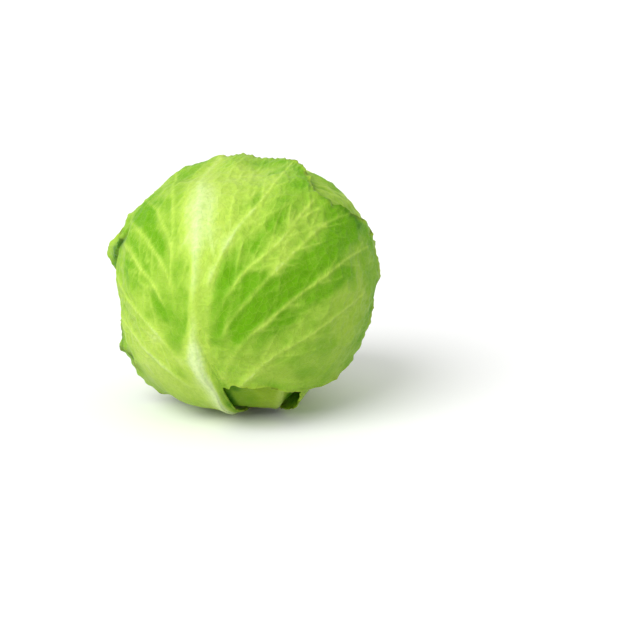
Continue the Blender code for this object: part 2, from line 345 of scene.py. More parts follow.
# Fine net of veins in the material, and the skin's noise: its scale and its detail
NET_CELLS = 26.0
NET_WIDTH = 0.11
NET_SIZES = (1.0, 2.7)
FINE_NET = 0.45
NET_SHIFT = 0.05
NET_SHIFT_SCALE = 9.0
SKIN_NOISE = {"Blotch": (70.0, 4.0), "Speck": (420.0, 2.0), "Grain": (1600.0, 2.0)}
BUMP_HEIGHT = 0.0005

# Stage: the floor with a hole under the stem, the view in steps of one pixel, and the main light
FLOOR_HOLE = 0.0120
FLOOR_RADIUS = 15.0
FLOOR_SIDES = 96
FLOOR_SEEN = (0.97, 0.97, 0.97, 1)
FLOOR_THROWN_BACK = (0.72, 0.72, 0.72, 1)
PIXEL = 0.00063
HEAD_LEFT = 78
HEAD_ABOVE = 35
SENSOR_WIDTH = 36
CLIP_START = 0.05
CLIP_END = 60
KEY_TOWARD = (-0.52, -0.55, 0.65)
KEY_SOFTNESS = math.radians(50)
KEY_DISTANCE = 2


@dataclass(frozen=True)
class Swell:
    """A stretch of a leaf's edge that reaches further, waves more, is more ragged or lifts more, or less."""

    at: float
    width: float
    reach: float = 0.0
    power: int = 2
    ruffle: float = 0.0
    teeth: float = 0.0
    lift: float = 0.0


@dataclass(frozen=True)
class Leaf:
    """One leaf: the place of its middle, its lean and its reach in degrees, and what its surface is like."""

    name: str
    azimuth: float
    polar: float
    lean: float
    tip: float
    right: float
    left: float
    slot: str
    seed: int
    base: float = 86.0
    columns: int = 200
    rows: int = 150
    swells: tuple = ()
    ribs: tuple = ()
    midrib: tuple = ()
    patches: tuple = ()
    glows: tuple = ()
    hollows: tuple = ()
    folds: tuple = ()
    shades: tuple = ()
    fringes: tuple = ()
    ridge: float = 0.0

    def span(self):
        """Where the leaf's base and its tip are along it."""
        return -math.radians(self.base) * LEAF_SCALE, math.radians(self.tip) * LEAF_SCALE


# Side ribs of the front leaf, from the midrib outwards: points in millimetres across and along the flat leaf
FRONT_RIBS = (
    ((-4, -30), (-9, 0), (-12, 22), (-13, 42), (-19, 65), (-36, 92), (-58, 112)),
    ((-5, 5), (-10, 28), (-15, 44), (-26, 57), (-36, 67), (-59, 77), (-84, 90)),
    ((-5, -16), (-10, 8), (-16, 26), (-27, 38), (-41, 49), (-58, 57), (-86, 64)),
    ((-6, -32), (-13, -4), (-24, 17), (-36, 27), (-49, 38), (-74, 47), (-92, 50)),
    ((-6, -50), (-17, -24), (-32, -5), (-50, 7), (-70, 18), (-90, 24)),
    ((-6, -66), (-20, -44), (-38, -26), (-58, -14), (-84, -8)),
    ((5, 0), (12, 20), (19, 36), (28, 53), (37, 66), (45, 82), (54, 104), (60, 124)),
    ((6, -22), (14, -2), (26, 17), (35, 27), (45, 35), (56, 45), (64, 56), (77, 73)),
    ((6, -40), (14, -18), (24, -2), (33, 7), (45, 19), (53, 26), (66, 38), (88, 56), (112, 64)),
    ((6, -56), (17, -32), (31, -15), (44, -7), (53, 0), (74, 12), (100, 26), (128, 34)),
    ((6, -70), (20, -50), (40, -34), (64, -24), (92, -14), (122, -6)),
)

# Midrib of the front leaf, from its base to its tip
FRONT_MIDRIB = (
    (-3, -120),
    (1.5, -79),
    (3, -66),
    (4.5, -56),
    (4, -47),
    (1.5, -37),
    (0.3, -22),
    (1, -6),
    (3, 22),
    (3.5, 40),
    (2.5, 53),
    (-2.5, 76),
    (-17, 108),
    (-26, 149),
)

# Places on the front leaf that are a deeper green: across, along and width in millimetres, and how deep
FRONT_PATCHES = (
    (-45, 62, 12, 0.70),
    (-62, 68, 11, 0.55),
    (33, 9, 9, 0.25),
    (-52, 24, 9, 0.20),
    (-24, 8, 9, 0.10),
    (50, 7, 12, 0.55),
    (66, 18, 14, 0.60),
    (92, 36, 24, 0.38),
    (110, 58, 18, 0.60),
    (26, 28, 11, 0.35),
    (60, 92, 14, 0.10),
    (88, 66, 10, 0.12),
    (14, -66, 9, 0.60),
)

# Deeper green hollows between the ribs of the front leaf: points and width in millimetres, and how deep
FRONT_HOLLOWS = (
    (((10, -26), (15, -4), (18, 8), (20, 20)), 6.0, 0.70),
    (((20, -16), (28, 2), (35, 10), (43, 18)), 5.0, 0.60),
    (((36, 38), (40, 42), (46, 50), (54, 60)), 4.5, 0.40),
    (((22, -30), (31, -10), (44, 6), (58, 13), (75, 26), (98, 44)), 7.0, 0.90),
    (((30, -34), (40, -18), (54, -10), (76, 2), (100, 14)), 7.0, 0.55),
    (((32, 62), (38, 76), (38, 92), (44, 110)), 5.5, 0.45),
    (((52, 66), (60, 80), (54, 100), (62, 118)), 7.0, 0.12),
    (((-20, 34), (-25, 43), (-36, 55), (-48, 65), (-66, 76)), 5.0, 0.60),
    (((-17, 0), (-28, 21), (-40, 38), (-54, 48), (-76, 54)), 4.0, 0.32),
    (((-12, -16), (-22, 6), (-36, 20), (-52, 29), (-74, 36)), 4.0, 0.20),
    (((-16, -34), (-32, -12), (-52, -2), (-76, 6)), 5.0, 0.15),
    (((6, -34), (8, -52), (8, -72)), 4.0, 0.55),
)

# Places on the front leaf that are paler than its ribs make them, or less pale where the value is negative:
# partly the leaf's own tone and partly painted light and shade, lighter on the shaded right of the midrib and
# darker on its lit left: across, along and width in millimetres, and how pale
FRONT_GLOWS = (
    (0, 46, 14, 0.42),
    (0, 64, 15, 0.38),
    (2, 84, 16, 0.35),
    (14, 112, 22, 0.40),
    (-24, -56, 22, 0.40),
    (-44, -36, 20, 0.50),
    (-34, 8, 10, 0.30),
    (-34, 34, 8, 0.20),
    (-62, -8, 18, 0.25),
    (-6, -46, 9, 0.35),
    (-4, -18, 9, 0.30),
    (-10, -28, 9, 0.35),
    (28, -40, 14, 0.25),
    (74, 60, 16, 0.30),
    (-6, 8, 10, -1.20),
    (-8, -13, 9, -1.00),
    (-6, 29, 9, -0.90),
    (-11, 50, 10, -0.50),
    (-10, -2, 6, -0.60),
    (-12, -22, 6, -0.55),
    (-14, -40, 7, -0.50),
    (-29, -16, 9, 0.50),
    (-20, -32, 7, 0.25),
    (12, 24, 7, 0.25),
    (21, 42, 7, 0.35),
    (57, 38, 8, 0.35),
    (1, -20, 5, 0.40),
    (8, -42, 5, 0.40),
    (22, 52, 12, 0.35),
    (16, 72, 12, 0.30),
    (33, 80, 14, 0.35),
    (38, 62, 9, 0.30),
    (24, 104, 13, 0.25),
    (44, 98, 12, 0.25),
    (51, 26, 7, 0.30),
    (0, -29, 6, 0.55),
    (7, -74, 8, -0.50),
    (5, -88, 9, -0.50),
)

# Stretch of the left edge of the front leaf that is thin and spotted further in: points, width and strength
FRONT_FRINGES = (
    (((-93, -14), (-92, -24), (-88, -34), (-83, -44), (-75, -54)), 8.0, 1.0),
)

# Line along which the left tip of the front leaf is turned over, from its fold to the edge
FRONT_FOLD = ((-60, 55), (-68, 51), (-77, 47), (-86, 43), (-94, 37), (-102, 31), (-112, 25))

# Painted shade on the front leaf: the pocket under its turned-over tip, the blade beside its keel, and spots
# along its waved right and left edges: points, width in millimetres, and how dark
FRONT_SHADES = (
    (((-55, 42), (-64, 44), (-76, 44), (-84, 44), (-91, 42), (-98, 37), (-102, 31), (-107, 24)), 5.2, 1.0),
    (((9, -56), (11, -61), (11, -66), (10, -72)), 4.5, 0.50),
    (((80, 78), (86, 74), (95, 70), (104, 65), (112, 59), (116, 52)), 3.0, 0.85),
    (((-92, -22), (-88, -32), (-86, -42), (-80, -52)), 3.2, 0.60),
)

# Wrapper leaves, innermost first: azimuth and polar angle of the middle, lean, and reach to the tip, right
# and left
LEAVES = (
    Leaf("wrapper_leaf_1", 178, 92, 0, 84, 80, 78, "under_leaf", seed=11, columns=130, rows=100),
    Leaf("wrapper_leaf_2", -82, 90, -4, 86, 80, 82, "under_leaf", seed=23, columns=130, rows=100),
    Leaf("wrapper_leaf_3", 24, 90, 3, 88, 82, 80, "under_leaf", seed=37, columns=150, rows=120),
    Leaf("wrapper_leaf_4", -143, 91, 5, 88, 79, 80, "wrapper_leaf", seed=41),
    Leaf("wrapper_leaf_5", 118, 91, -6, 90, 82, 80, "wrapper_leaf", seed=59),
    Leaf(
        "wrapper_leaf_6",
        azimuth=-19,
        polar=90,
        lean=5,
        tip=107,
        right=112,
        left=76,
        slot="wrapper_leaf",
        seed=67,
        columns=250,
        rows=188,
        swells=(
            Swell(at=48, width=17, reach=-22, ruffle=0.9, teeth=1.2, lift=0.0012),
            Swell(at=156, width=19, reach=-49, power=4, lift=0.002),
            Swell(at=167, width=9, reach=-3, power=4),
            Swell(at=173, width=5, reach=-11, power=4),
            Swell(at=45, width=8, reach=-4),
            Swell(at=60, width=9, reach=-4),
            Swell(at=105, width=30, reach=-8),
            Swell(at=-75, width=7, reach=6),
            Swell(at=-122, width=5, reach=9, lift=0.0040),
            Swell(at=-74, width=6, lift=0.0022),
            Swell(at=-95, width=11, ruffle=-0.6),
            Swell(at=-130, width=22, reach=-8),
            Swell(at=-114, width=14, ruffle=1.8, teeth=3.0, lift=-0.0022),
            Swell(at=-150, width=18, ruffle=-0.4, lift=0.0012),
            Swell(at=0, width=48, ruffle=-0.9, teeth=-0.95),
            Swell(at=95, width=34, ruffle=-0.6, teeth=-0.7),
        ),
        ribs=FRONT_RIBS,
        midrib=FRONT_MIDRIB,
        patches=FRONT_PATCHES,
        glows=FRONT_GLOWS,
        hollows=FRONT_HOLLOWS,
        folds=(FRONT_FOLD,),
        shades=FRONT_SHADES,
        fringes=FRONT_FRINGES,
        ridge=0.0024,
    ),
)
HEART_LEAF = Leaf("heart_leaf", 0, 96, 0, 92, 74, 74, "heart", seed=83)


def smooth_step(value):
    """The value rising smoothly from 0 to 1, and level outside that range."""
    t = np.clip(value, 0, 1)
    return t * t * (3 - 2 * t)


def fading(distance, width):
    """1 at no distance, falling smoothly to 0 at that width."""
    return smooth_step(1 - distance / width)


def bell(distance, width, power=2):
    """1 at no distance, falling away like a bell, or for a higher power like one with a flat top."""
    return np.exp(-((distance / width) ** power))


def between(pair, share):
    """The value at a share of the way from the first of two values to the second."""
    return pair[0] + (pair[1] - pair[0]) * share


def direction(azimuth, polar):
    """Unit vector from the middle of the ball, and the upward and rightward directions there."""
    a = math.radians(azimuth)
    p = math.radians(polar)
    out = np.array([math.sin(a) * math.sin(p), -math.cos(a) * math.sin(p), -math.cos(p)])
    up = np.array([math.sin(a) * math.cos(p), -math.cos(a) * math.cos(p), math.sin(p)])
    right = np.array([math.cos(a), math.sin(a), 0.0])
    return out, up, right


def raised(directions, places):
    """Height of round swellings and dents of the ball, each with its place, spread and height."""
    total = np.zeros(len(directions))
    for azimuth, polar, width, height in places:
        away = np.arccos(np.clip(directions @ direction(azimuth, polar)[0], -1, 1))
        total += height * bell(away, math.radians(width))
    return total


def ball_radius(directions):
    """Radius of the ball under the first wrapper leaf."""
    return HEART_RADIUS + raised(directions, LUMPS)


# A leaf's base is bent clear of the stem, and its last stretch runs in to meet it
PLAIN = np.radians(np.linspace(0, 180, POLAR_STEPS))
OPENED = PLAIN + math.radians(STEM_OPENING) * np.exp(-PLAIN / math.radians(OPENING_FADE))
OPENED -= math.radians(STEM_JOIN) * bell(PLAIN, math.radians(STEM_JOIN))


def bend_polar(directions, source, target):
    """The same directions with their polar angles taken from one list to the other."""
    polar = np.arccos(np.clip(-directions[:, 2], -1, 1))
    bent = np.interp(polar, source, target)
    flat = np.hypot(directions[:, 0], directions[:, 1])
    scale = np.sin(bent) / np.maximum(flat, 1e-9)
    return np.column_stack([directions[:, 0] * scale, directions[:, 1] * scale, -np.cos(bent)])


def leaf_axes(leaf):
    """Unit vectors of a leaf from the middle of the ball: out through its middle, along it and across it."""
    out, up, right = direction(leaf.azimuth, leaf.polar)
    lean = math.radians(leaf.lean)
    along = up * math.cos(lean) - right * math.sin(lean)
    across = right * math.cos(lean) + up * math.sin(lean)
    return out, along, across


def swollen(leaf, angle, what):
    """Sum of the leaf's swells at an angle clockwise from its tip: one of their values."""
    total = np.zeros(np.shape(angle))
    for swell in leaf.swells:
        away = (np.degrees(angle) - swell.at + 180) % 360 - 180
        total = total + getattr(swell, what) * bell(away, swell.width, swell.power)
    return total


def outline(leaf, angle):
    """How far the leaf reaches from its middle, in radians, at an angle clockwise from its tip."""
    up = np.cos(angle)
    side = np.sin(angle)
    middle = (leaf.right + leaf.left) / 2 + (leaf.right - leaf.left) / 2 * side
    reach = middle + (leaf.tip - middle) * np.clip(up, 0, 1) ** TIP_ROUNDNESS
    reach = reach + (leaf.base - middle) * np.clip(-up, 0, 1) ** BASE_ROUNDNESS
    return np.radians(reach + swollen(leaf, angle, "reach"))


def clear_of_base(angle):
    """0 at the leaf's base, whose edge stays smooth, and 1 away from it."""
    return 1 - np.clip(-np.cos(angle), 0, 1) ** (2 * BASE_ROUNDNESS)


def lay(leaf, distance, angle):
    """Directions on the ball of points of the flat leaf, given by distance and angle from its middle."""
    out, along, across = leaf_axes(leaf)
    sideways = np.outer(np.sin(angle), across) + np.outer(np.cos(angle), along)
    plain = np.outer(np.cos(distance), out) + np.sin(distance)[:, None] * sideways
    return bend_polar(plain, PLAIN, OPENED)


def lift_off(leaf, directions):
    """The opposite of lay: distance and angle on the flat leaf of directions on the ball."""
    out, along, across = leaf_axes(leaf)
    plain = bend_polar(directions, OPENED, PLAIN)
    distance = np.arccos(np.clip(plain @ out, -1, 1))
    return distance, np.arctan2(plain @ across, plain @ along)


def cover(leaf, distance, angle, overhang, slope):
    """1 where the leaf lies, falling to 0 past its edge."""
    inside = (outline(leaf, angle) - distance) * LEAF_SCALE
    return smooth_step((inside + overhang + slope) / slope)


def disc_grid(columns, rows):
    """Points of a grid on the unit disc. Its lower side is the leaf's base, where its columns fan out."""

    def rim(degrees):
        return np.stack([np.sin(np.radians(degrees)), np.cos(np.radians(degrees))], axis=-1)

    s, t = np.meshgrid(np.linspace(-1, 1, columns + 1), np.linspace(0, 1, rows + 1))
    s = s.ravel()
    t = t.ravel()
    across = ((s + 1) / 2)[:, None]
    up = t[:, None]
    side = BASE_CORNER + (TIP_CORNER - BASE_CORNER) * t
    foot = rim(180 - (180 - BASE_CORNER) * s)
    head = rim(TIP_CORNER * s)
    left = rim(-side)
    right = rim(side)
    low_left, low_right = rim(np.array([-BASE_CORNER, BASE_CORNER]))
    top_left, top_right = rim(np.array([-TIP_CORNER, TIP_CORNER]))
    corners = (1 - up) * ((1 - across) * low_left + across * low_right)
    corners = corners + up * ((1 - across) * top_left + across * top_right)
    return (1 - up) * foot + up * head + (1 - across) * left + across * right - corners


def cells_of(x, y, size):
    """Places measured in cells of a size, and the column and row of the cell that each lies in."""
    u = x / size
    v = y / size
    return u, v, np.floor(u).astype(int), np.floor(v).astype(int)


def wobble(x, y, size, seed):
    """Smooth uneven values between -1 and 1 over a surface, with hills about as wide as size."""
    table = np.random.default_rng(seed).uniform(-1, 1, (NOISE_CELLS, NOISE_CELLS))
    u, v, column, row = cells_of(x, y, size)
    a = smooth_step(u - column)
    b = smooth_step(v - row)
    left = column % NOISE_CELLS
    right = (column + 1) % NOISE_CELLS
    row_here = row % NOISE_CELLS
    row_next = (row + 1) % NOISE_CELLS
    low = table[row_here, left] * (1 - a) + table[row_here, right] * a
    high = table[row_next, left] * (1 - a) + table[row_next, right] * a
    return low * (1 - b) + high * b


def pockets(x, y, size, seed):
    """How deep inside a pocket of the net of veins each point lies: 0 on the net, about 0.5 in the middle."""
    shift = np.random.default_rng(seed).uniform(*POCKET_MIDDLE, (NOISE_CELLS, NOISE_CELLS, 2))
    u, v, column, row = cells_of(x, y, size)
    nearest = np.full(len(u), FAR_OFF)
    second = np.full(len(u), FAR_OFF)
    for i in (-1, 0, 1):
        for j in (-1, 0, 1):
            spot = shift[(row + i) % NOISE_CELLS, (column + j) % NOISE_CELLS]
            gap = np.hypot(column + j + spot[:, 0] - u, row + i + spot[:, 1] - v)
            second = np.minimum(second, np.maximum(nearest, gap))
            nearest = np.minimum(nearest, gap)
    return (second - nearest) / 2


def smooth_line(points, count):
    """A smooth line, in metres, through a few points given in millimetres."""
    known = np.array(points) / MILLIMETRES
    known = np.vstack([2 * known[0] - known[1], known, 2 * known[-1] - known[-2]])
    place = np.linspace(0, len(points) - 1 - TINY, count)
    start = place.astype(int)
    t = (place - start)[:, None]
    p0, p1, p2, p3 = (known[start + k] for k in range(4))
    curve = 2 * p1 + (p2 - p0) * t + (2 * p0 - 5 * p1 + 4 * p2 - p3) * t**2
    return (curve + (3 * p1 - p0 - 3 * p2 + p3) * t**3) / 2


class Relief:
    """Height and paleness that the ribs and veins give to the points of a leaf."""

    def __init__(self, leaf, x, y):
        self.leaf = leaf
        self.x = x
        self.y = y
        self.height = np.zeros(len(x))
        self.pale = np.zeros(len(x))
        self.random = np.random.default_rng(leaf.seed)

    def stroke(self, line, width, height, pale, rise=0.0):
        """Raises a rib along a line. Width, height and paleness are given at its start and its end, and rise
        is the share of its length over which it comes up out of the blade."""
        share = np.linspace(0, 1, len(line))
        risen = smooth_step(share / rise) if rise else 1.0
        wide = between(width, share)
        high = between(height, share) * risen
        light = between(pale, share) * risen
        reach = STROKE_REACH * max(width)
        low = line.min(axis=0) - reach
        top = line.max(axis=0) + reach
        inside = (self.x > low[0]) & (self.x < top[0]) & (self.y > low[1]) & (self.y < top[1])
        near = np.nonzero(inside)[0]
        if not len(near):
            return
        x = self.x[near]
        y = self.y[near]
        for k in range(len(line) - 1):
            dx, dy = line[k + 1] - line[k]
            across = x - line[k, 0]
            along = y - line[k, 1]
            t = np.clip((across * dx + along * dy) / (dx * dx + dy * dy), 0, 1)
            strength = bell(np.hypot(across - t * dx, along - t * dy), between(wide[k : k + 2], t))
            self.height[near] = np.maximum(self.height[near], between(high[k : k + 2], t) * strength)
            self.pale[near] = np.maximum(self.pale[near], between(light[k : k + 2], t) * strength)

    def on_leaf(self, point):
        """Whether a point lies on the leaf or just past its edge."""
        angle = np.arctan2(point[:1], point[1:])
        return np.hypot(*point) < (outline(self.leaf, angle)[0] + PAST_EDGE) * LEAF_SCALE

    def branch(self, start, heading, fork, length):
        """A line that forks off a rib and bends back towards the rib's way."""
        turn = BRANCH_TURN_BACK * fork / BRANCH_POINTS
        points = [start]
        for bit in range(BRANCH_POINTS):
            way = heading + fork + turn * bit
            points.append(points[-1] + length / BRANCH_POINTS * np.array([math.sin(way), math.cos(way)]))
        return np.array(points)

    def grow(self, line, width, height, pale, level, rise=0.0):
        """A rib with its branches, which fork off to both sides and get finer."""
        self.stroke(line, width, height, pale, rise)
        if level == 0:
            return
        fine = level == 1
        length = np.linalg.norm(np.diff(line, axis=0), axis=1).sum()
        side = self.random.choice((-1, 1))
        place = self.random.uniform(*(FINE_FIRST_FORK if fine else FIRST_FORK))
        step = BRANCH_STEP / length * (FINE_STEP if fine else 1.0)
        while place < LAST_FORK:
            at = place * (len(line) - 1)
            k = int(at)
            start = between(line[k : k + 2], at - k)
            heading = math.atan2(*(line[k + 1] - line[k]))
            fork = side * math.radians(self.random.uniform(*FORK_ANGLE))
            shortened = BRANCH_FIRST_LENGTH - BRANCH_SHORTENING * place
            long = length * self.random.uniform(*BRANCH_LENGTH) * shortened
            points = self.branch(start, heading, fork, long)
            if self.on_leaf(start):
                share = 1 - BRANCH_THINNING * place
                thin = (width[0] * share * BRANCH_WIDTH, width[1] * share * BRANCH_WIDTH)
                low = (height[0] * share * BRANCH_HEIGHT, height[1] * share * BRANCH_HEIGHT)
                light = (pale[0] * BRANCH_PALE, pale[1] * BRANCH_PALE)
                self.grow(points, thin, low, light, level - 1)
            side = -side
            place += step * self.random.uniform(*FORK_SPACING)


def side_ribs(leaf):
    """Side ribs of a leaf as smooth lines on the flat leaf, in metres."""
    if leaf.ribs:
        return [smooth_line(points, RIB_POINTS) for points in leaf.ribs]
    rng = np.random.default_rng(leaf.seed + RIB_SEED)
    lines = []
    for side in (-1, 1):
        for number in range(RIBS_A_SIDE):
            y = RIB_FOOT + RIB_SPACING * number + rng.uniform(-RIB_UNEVENNESS, RIB_UNEVENNESS)
            x = side * RIB_OFF_MIDDLE
            way = math.radians(rng.uniform(*RIB_FIRST_ANGLE))
            uneven = rng.uniform(-RIB_ANGLE_UNEVENNESS, RIB_ANGLE_UNEVENNESS)
            last_way = math.radians(RIB_LAST_ANGLE - RIB_ANGLE_STEP * number + uneven)
            points = [(x, y)]
            for step in range(RIB_POINTS):
                x += side * RIB_STEP * math.sin(way)
                y += RIB_STEP * math.cos(way)
                way += (last_way - way) * RIB_TURN - RIB_DROOP * step * RIB_TURN
                points.append((x, y))
            lines.append(np.array(points))
    return lines


def midrib_line(leaf, y):
    """Place across the leaf of its midrib, at each distance along it."""
    if leaf.midrib:
        line = smooth_line(leaf.midrib, MIDRIB_POINTS)
        return np.interp(y, line[:, 1], line[:, 0])
    return MIDRIB_SWAY * np.sin(y / MIDRIB_BEND + leaf.seed)


def smoothed(grid, cells):
    """The grid averaged over a bell that many cells wide."""
    reach = int(math.ceil(3 * cells))
    taps = np.exp(-0.5 * (np.arange(-reach, reach + 1) / cells) ** 2)
    taps /= taps.sum()
    for axis in (0, 1):
        border = [(0, 0), (0, 0)]
        border[axis] = (reach, reach)
        wide = np.pad(grid, border, mode="edge")
        size = grid.shape[axis]
        grid = sum(tap * np.take(wide, range(k, k + size), axis=axis) for k, tap in enumerate(taps))
    return grid


def felt_height(leaf, directions):
    """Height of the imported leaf's inner face over the ball, on the leaf's grid, carried on past its edge."""
    shape = (leaf.rows + 1, leaf.columns + 1)
    tree = BVHTree.FromObject(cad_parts[leaf.name], bpy.context.evaluated_depsgraph_get())
    middle = Vector(CENTRE)
    radius = np.zeros(len(directions))
    for number, out in enumerate(directions):
        hit = tree.ray_cast(middle, Vector(out), RAY_LENGTH)[0]
        if hit:
            radius[number] = (hit - middle).length
    found = (radius > 0).reshape(shape)
    height = np.where(found, (radius - ball_radius(directions)).reshape(shape), 0)
    cells = FIRST_SPREAD
    while not found.all():
        weight = smoothed(found.astype(float), cells)
        carried = smoothed(height * found, cells) / np.maximum(weight, 1e-9)
        new = ~found & (weight > ENOUGH_FOUND)
        height[new] = carried[new]
        found |= new
        cells *= SPREAD_GROWTH
    return height


def smooth_height(leaf, directions, reach):
    """The felt height made smooth, and smoother still where a notch cuts far into the leaf."""
    cell = math.radians(leaf.right + leaf.left) * LEAF_SCALE / leaf.columns
    felt = felt_height(leaf, directions)
    plain = smoothed(felt, FELT_SMOOTHING / cell).ravel()
    broad = smoothed(felt, BROAD_SMOOTHING * FELT_SMOOTHING / cell).ravel()
    notched = (NOTCH_REACH - reach / math.radians((leaf.right + leaf.left) / 2)) / NOTCH_FADE
    return between((plain, broad), smooth_step(notched))


def edge_noise(leaf, angle, size, seed):
    """Uneven values round the edge of a leaf."""
    run = outline(leaf, angle) * LEAF_SCALE
    return wobble(run * np.sin(angle), run * np.cos(angle), size, leaf.seed * EDGE_SEED + seed)


def ragged(leaf, angle, settings):
    """How far the torn and toothed edge stands back from the smooth outline."""
    bays = smooth_step(edge_noise(leaf, angle, BAY_SIZE, 1) * BAY_CONTRAST + BAY_LEVEL)
    tears = smooth_step(edge_noise(leaf, angle, TEAR_SIZE, 2) * TEAR_CONTRAST + TEAR_LEVEL)
    teeth = TOOTH_DEPTH * (1 - np.abs(edge_noise(leaf, angle, TOOTH_SIZE, 3)))
    teeth = teeth * (TOOTH_OFF_BAYS + TOOTH_IN_BAYS * bays)
    depth = settings.tooth_depth * (1 + swollen(leaf, angle, "teeth"))
    return clear_of_base(angle) * depth * (BAY_DEPTH * bays + TEAR_DEPTH * tears + teeth)


def ruffle(leaf, x, y, settings):
    """How far the waved edge lifts off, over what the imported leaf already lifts."""
    angle = np.arctan2(x, y)
    reach = outline(leaf, angle)
    slant = (outline(leaf, angle + SLANT_STEP) - outline(leaf, angle - SLANT_STEP)) / (2 * SLANT_STEP)
    inside = reach * LEAF_SCALE - np.hypot(x, y)
    margin = np.maximum(inside, 0) / np.hypot(1, slant / reach)
    near = np.clip(1 - margin / settings.ruffle_width, 0, 1)
    slow = wobble(x, y, SLOW_WAVE, leaf.seed * EDGE_SEED + 4)
    quick = wobble(x, y, QUICK_WAVE, leaf.seed * EDGE_SEED + 5)
    waves = near**SLOW_POWER * (0.5 + 0.5 * slow) + QUICK_HEIGHT * near**QUICK_POWER * quick
    lively = 1 + swollen(leaf, angle, "ruffle")
    lift = swollen(leaf, angle, "lift") * near**LIFT_POWER
    return settings.ruffle_height * clear_of_base(angle) * waves * lively + lift


def spots(x, y, places):
    """How strongly each point lies in each of a few soft round spots of the flat leaf."""
    for across, along, width, strength in places:
        yield strength * bell(np.hypot(x * MILLIMETRES - across, y * MILLIMETRES - along), width)


def leaf_veins(leaf, x, y, settings):
    """Thickness over the blade and paleness of the midrib and all its branches."""
    relief = Relief(leaf, x, y)
    for line in side_ribs(leaf):
        relief.grow(line, RIB_WIDTH, RIB_HEIGHT, RIB_PALE, RIB_LEVELS, RIB_RISE)
        relief.stroke(line, LINE_WIDTH, LINE_HEIGHT, LINE_PALE, RIB_RISE)
    base, tip = leaf.span()
    along = np.clip((y - base) / (tip - base), 0, 1)
    off = x - midrib_line(leaf, y)
    right = off > 0
    low = smooth_step((KEEL_TOP - y) / KEEL_LENGTH) if leaf.ridge else np.zeros(len(y))
    broad = bell(off, MIDRIB_WIDTH - MIDRIB_NARROWING * along) * (1 - KEEL_CUT * low * right)
    crest = bell(off, CREST_WIDTH)
    height = settings.rib_height * (1 - along) ** MIDRIB_TAPER
    height = height * (MIDRIB_HEIGHT * broad + CREST_HEIGHT * crest * (1 - low))
    height += THIN_CREST * crest * (1 - along) ** THIN_CREST_TAPER
    keel = bell(off, np.where(right, *KEEL_WIDTHS))
    height += leaf.ridge * low * keel * smooth_step((y + KEEL_FOOT) / KEEL_RUN_UP)
    thick = np.sqrt(height**2 + relief.height**2)

    streak = wobble(off / (STREAK_WIDTH + along), y * STREAK_STRETCH, STREAK_SIZE, leaf.seed + 71)
    light = bell(off, PALE_WIDTH - PALE_NARROWING * along, PALE_FLATNESS)
    light *= PALE_LEAST + PALE_STREAKS * (0.5 + 0.5 * streak)
    light += PALE_CREST * crest * (1 - 0.5 * along) * (1 - low)
    # Painted shade: the keel's steep right side is made less pale
    shade = KEEL_SHADE * smooth_step(off / KEEL_SHADE_START) * bell(off, KEEL_SHADE_WIDTH)
    light += low * np.where(right, shade, 0)
    light += low * PALE_KEEL * bell(off, np.where(right, *KEEL_PALE_WIDTHS))
    foot = FOOT_PALE * fading(y - base, FOOT_LENGTH)
    dull = (1 - np.clip(light, 0, 1)) * (1 - relief.pale) * (1 - foot)
    for glow in spots(x, y, leaf.glows):
        dull *= 1 - glow
    return thick, 1 - dull


def brushed(leaf, x, y, strokes):
    """How strongly each point lies under a few soft strokes, such as the hollows between the ribs."""
    total = np.zeros(len(x))
    for points, width, strength in strokes:
        channel = Relief(leaf, x, y)
        line = smooth_line(points, STROKE_POINTS)
        wide = (width * STROKE_FIRST_WIDTH, width / MILLIMETRES)
        channel.stroke(line, wide, (0, 0), (strength, strength * STROKE_LAST_STRENGTH), STROKE_RISE)
        total = np.maximum(total, channel.pale)
    return total


def turned_over(leaf, x, y):
    """Where a turned-over tip moves each point: across, along and outwards. The tip lies over its pocket."""
    move = np.zeros((3, len(x)))
    for points in leaf.folds:
        line = smooth_line(points, FOLD_POINTS)
        way = np.gradient(line, axis=0)
        way /= np.linalg.norm(way, axis=1)[:, None]
        near = np.hypot(x[:, None] - line[:, 0], y[:, None] - line[:, 1])
        place = near.argmin(axis=1)
        side = (x - line[place, 0]) * -way[place, 1] + (y - line[place, 1]) * way[place, 0]
        distance = near.min(axis=1)
        ends = np.sin(np.pi * np.clip(place / (len(line) - 1), 0, 1)) ** FOLD_ENDS
        over = (side < 0) * ends * bell(distance, FOLD_OVER)
        under = (side >= 0) * ends * bell(distance, FOLD_UNDER)
        move[0] += over * FOLD_REACH * -way[place, 1]
        move[1] += over * FOLD_REACH * way[place, 0]
        move[2] += over * FOLD_LIFT - under * FOLD_DEPTH
    return move


def leaf_crumple(leaf, x, y, settings):
    """Dents and folds of the blade, which grow towards the edge, and the net of veins between them."""
    bent_x = x + SHIFT * wobble(x, y, SHIFT_SIZE, leaf.seed + 31)
    bent_y = (y + SHIFT * wobble(x, y, SHIFT_SIZE, leaf.seed + 32)) * POCKET_STRETCH
    big = pockets(bent_x, bent_y, BIG_POCKET, leaf.seed + 33)
    small = pockets(bent_x, bent_y, SMALL_POCKET, leaf.seed + 34)
    base, _ = leaf.span()
    some = between((FLAT_SHARE, 1), smooth_step((np.hypot(x, y - base) - FLAT_BASE) / FLAT_FADE))
    dent = -smooth_step(big / BIG_POCKET_RIM) * settings.dent_depth
    dent -= SMALL_DENT * smooth_step(small / SMALL_POCKET_RIM) * settings.dent_depth
    roll = BIG_ROLL_HEIGHT * wobble(x, y, BIG_ROLL, leaf.seed + 35)
    roll += SMALL_ROLL_HEIGHT * wobble(x, y, SMALL_ROLL, leaf.seed + 36)
    net = bell(big, BIG_NET_WIDTH) + SMALL_NET * bell(small, SMALL_NET_WIDTH)
    return some * (dent + settings.roll_height * roll), np.clip(net, 0, 1) * some


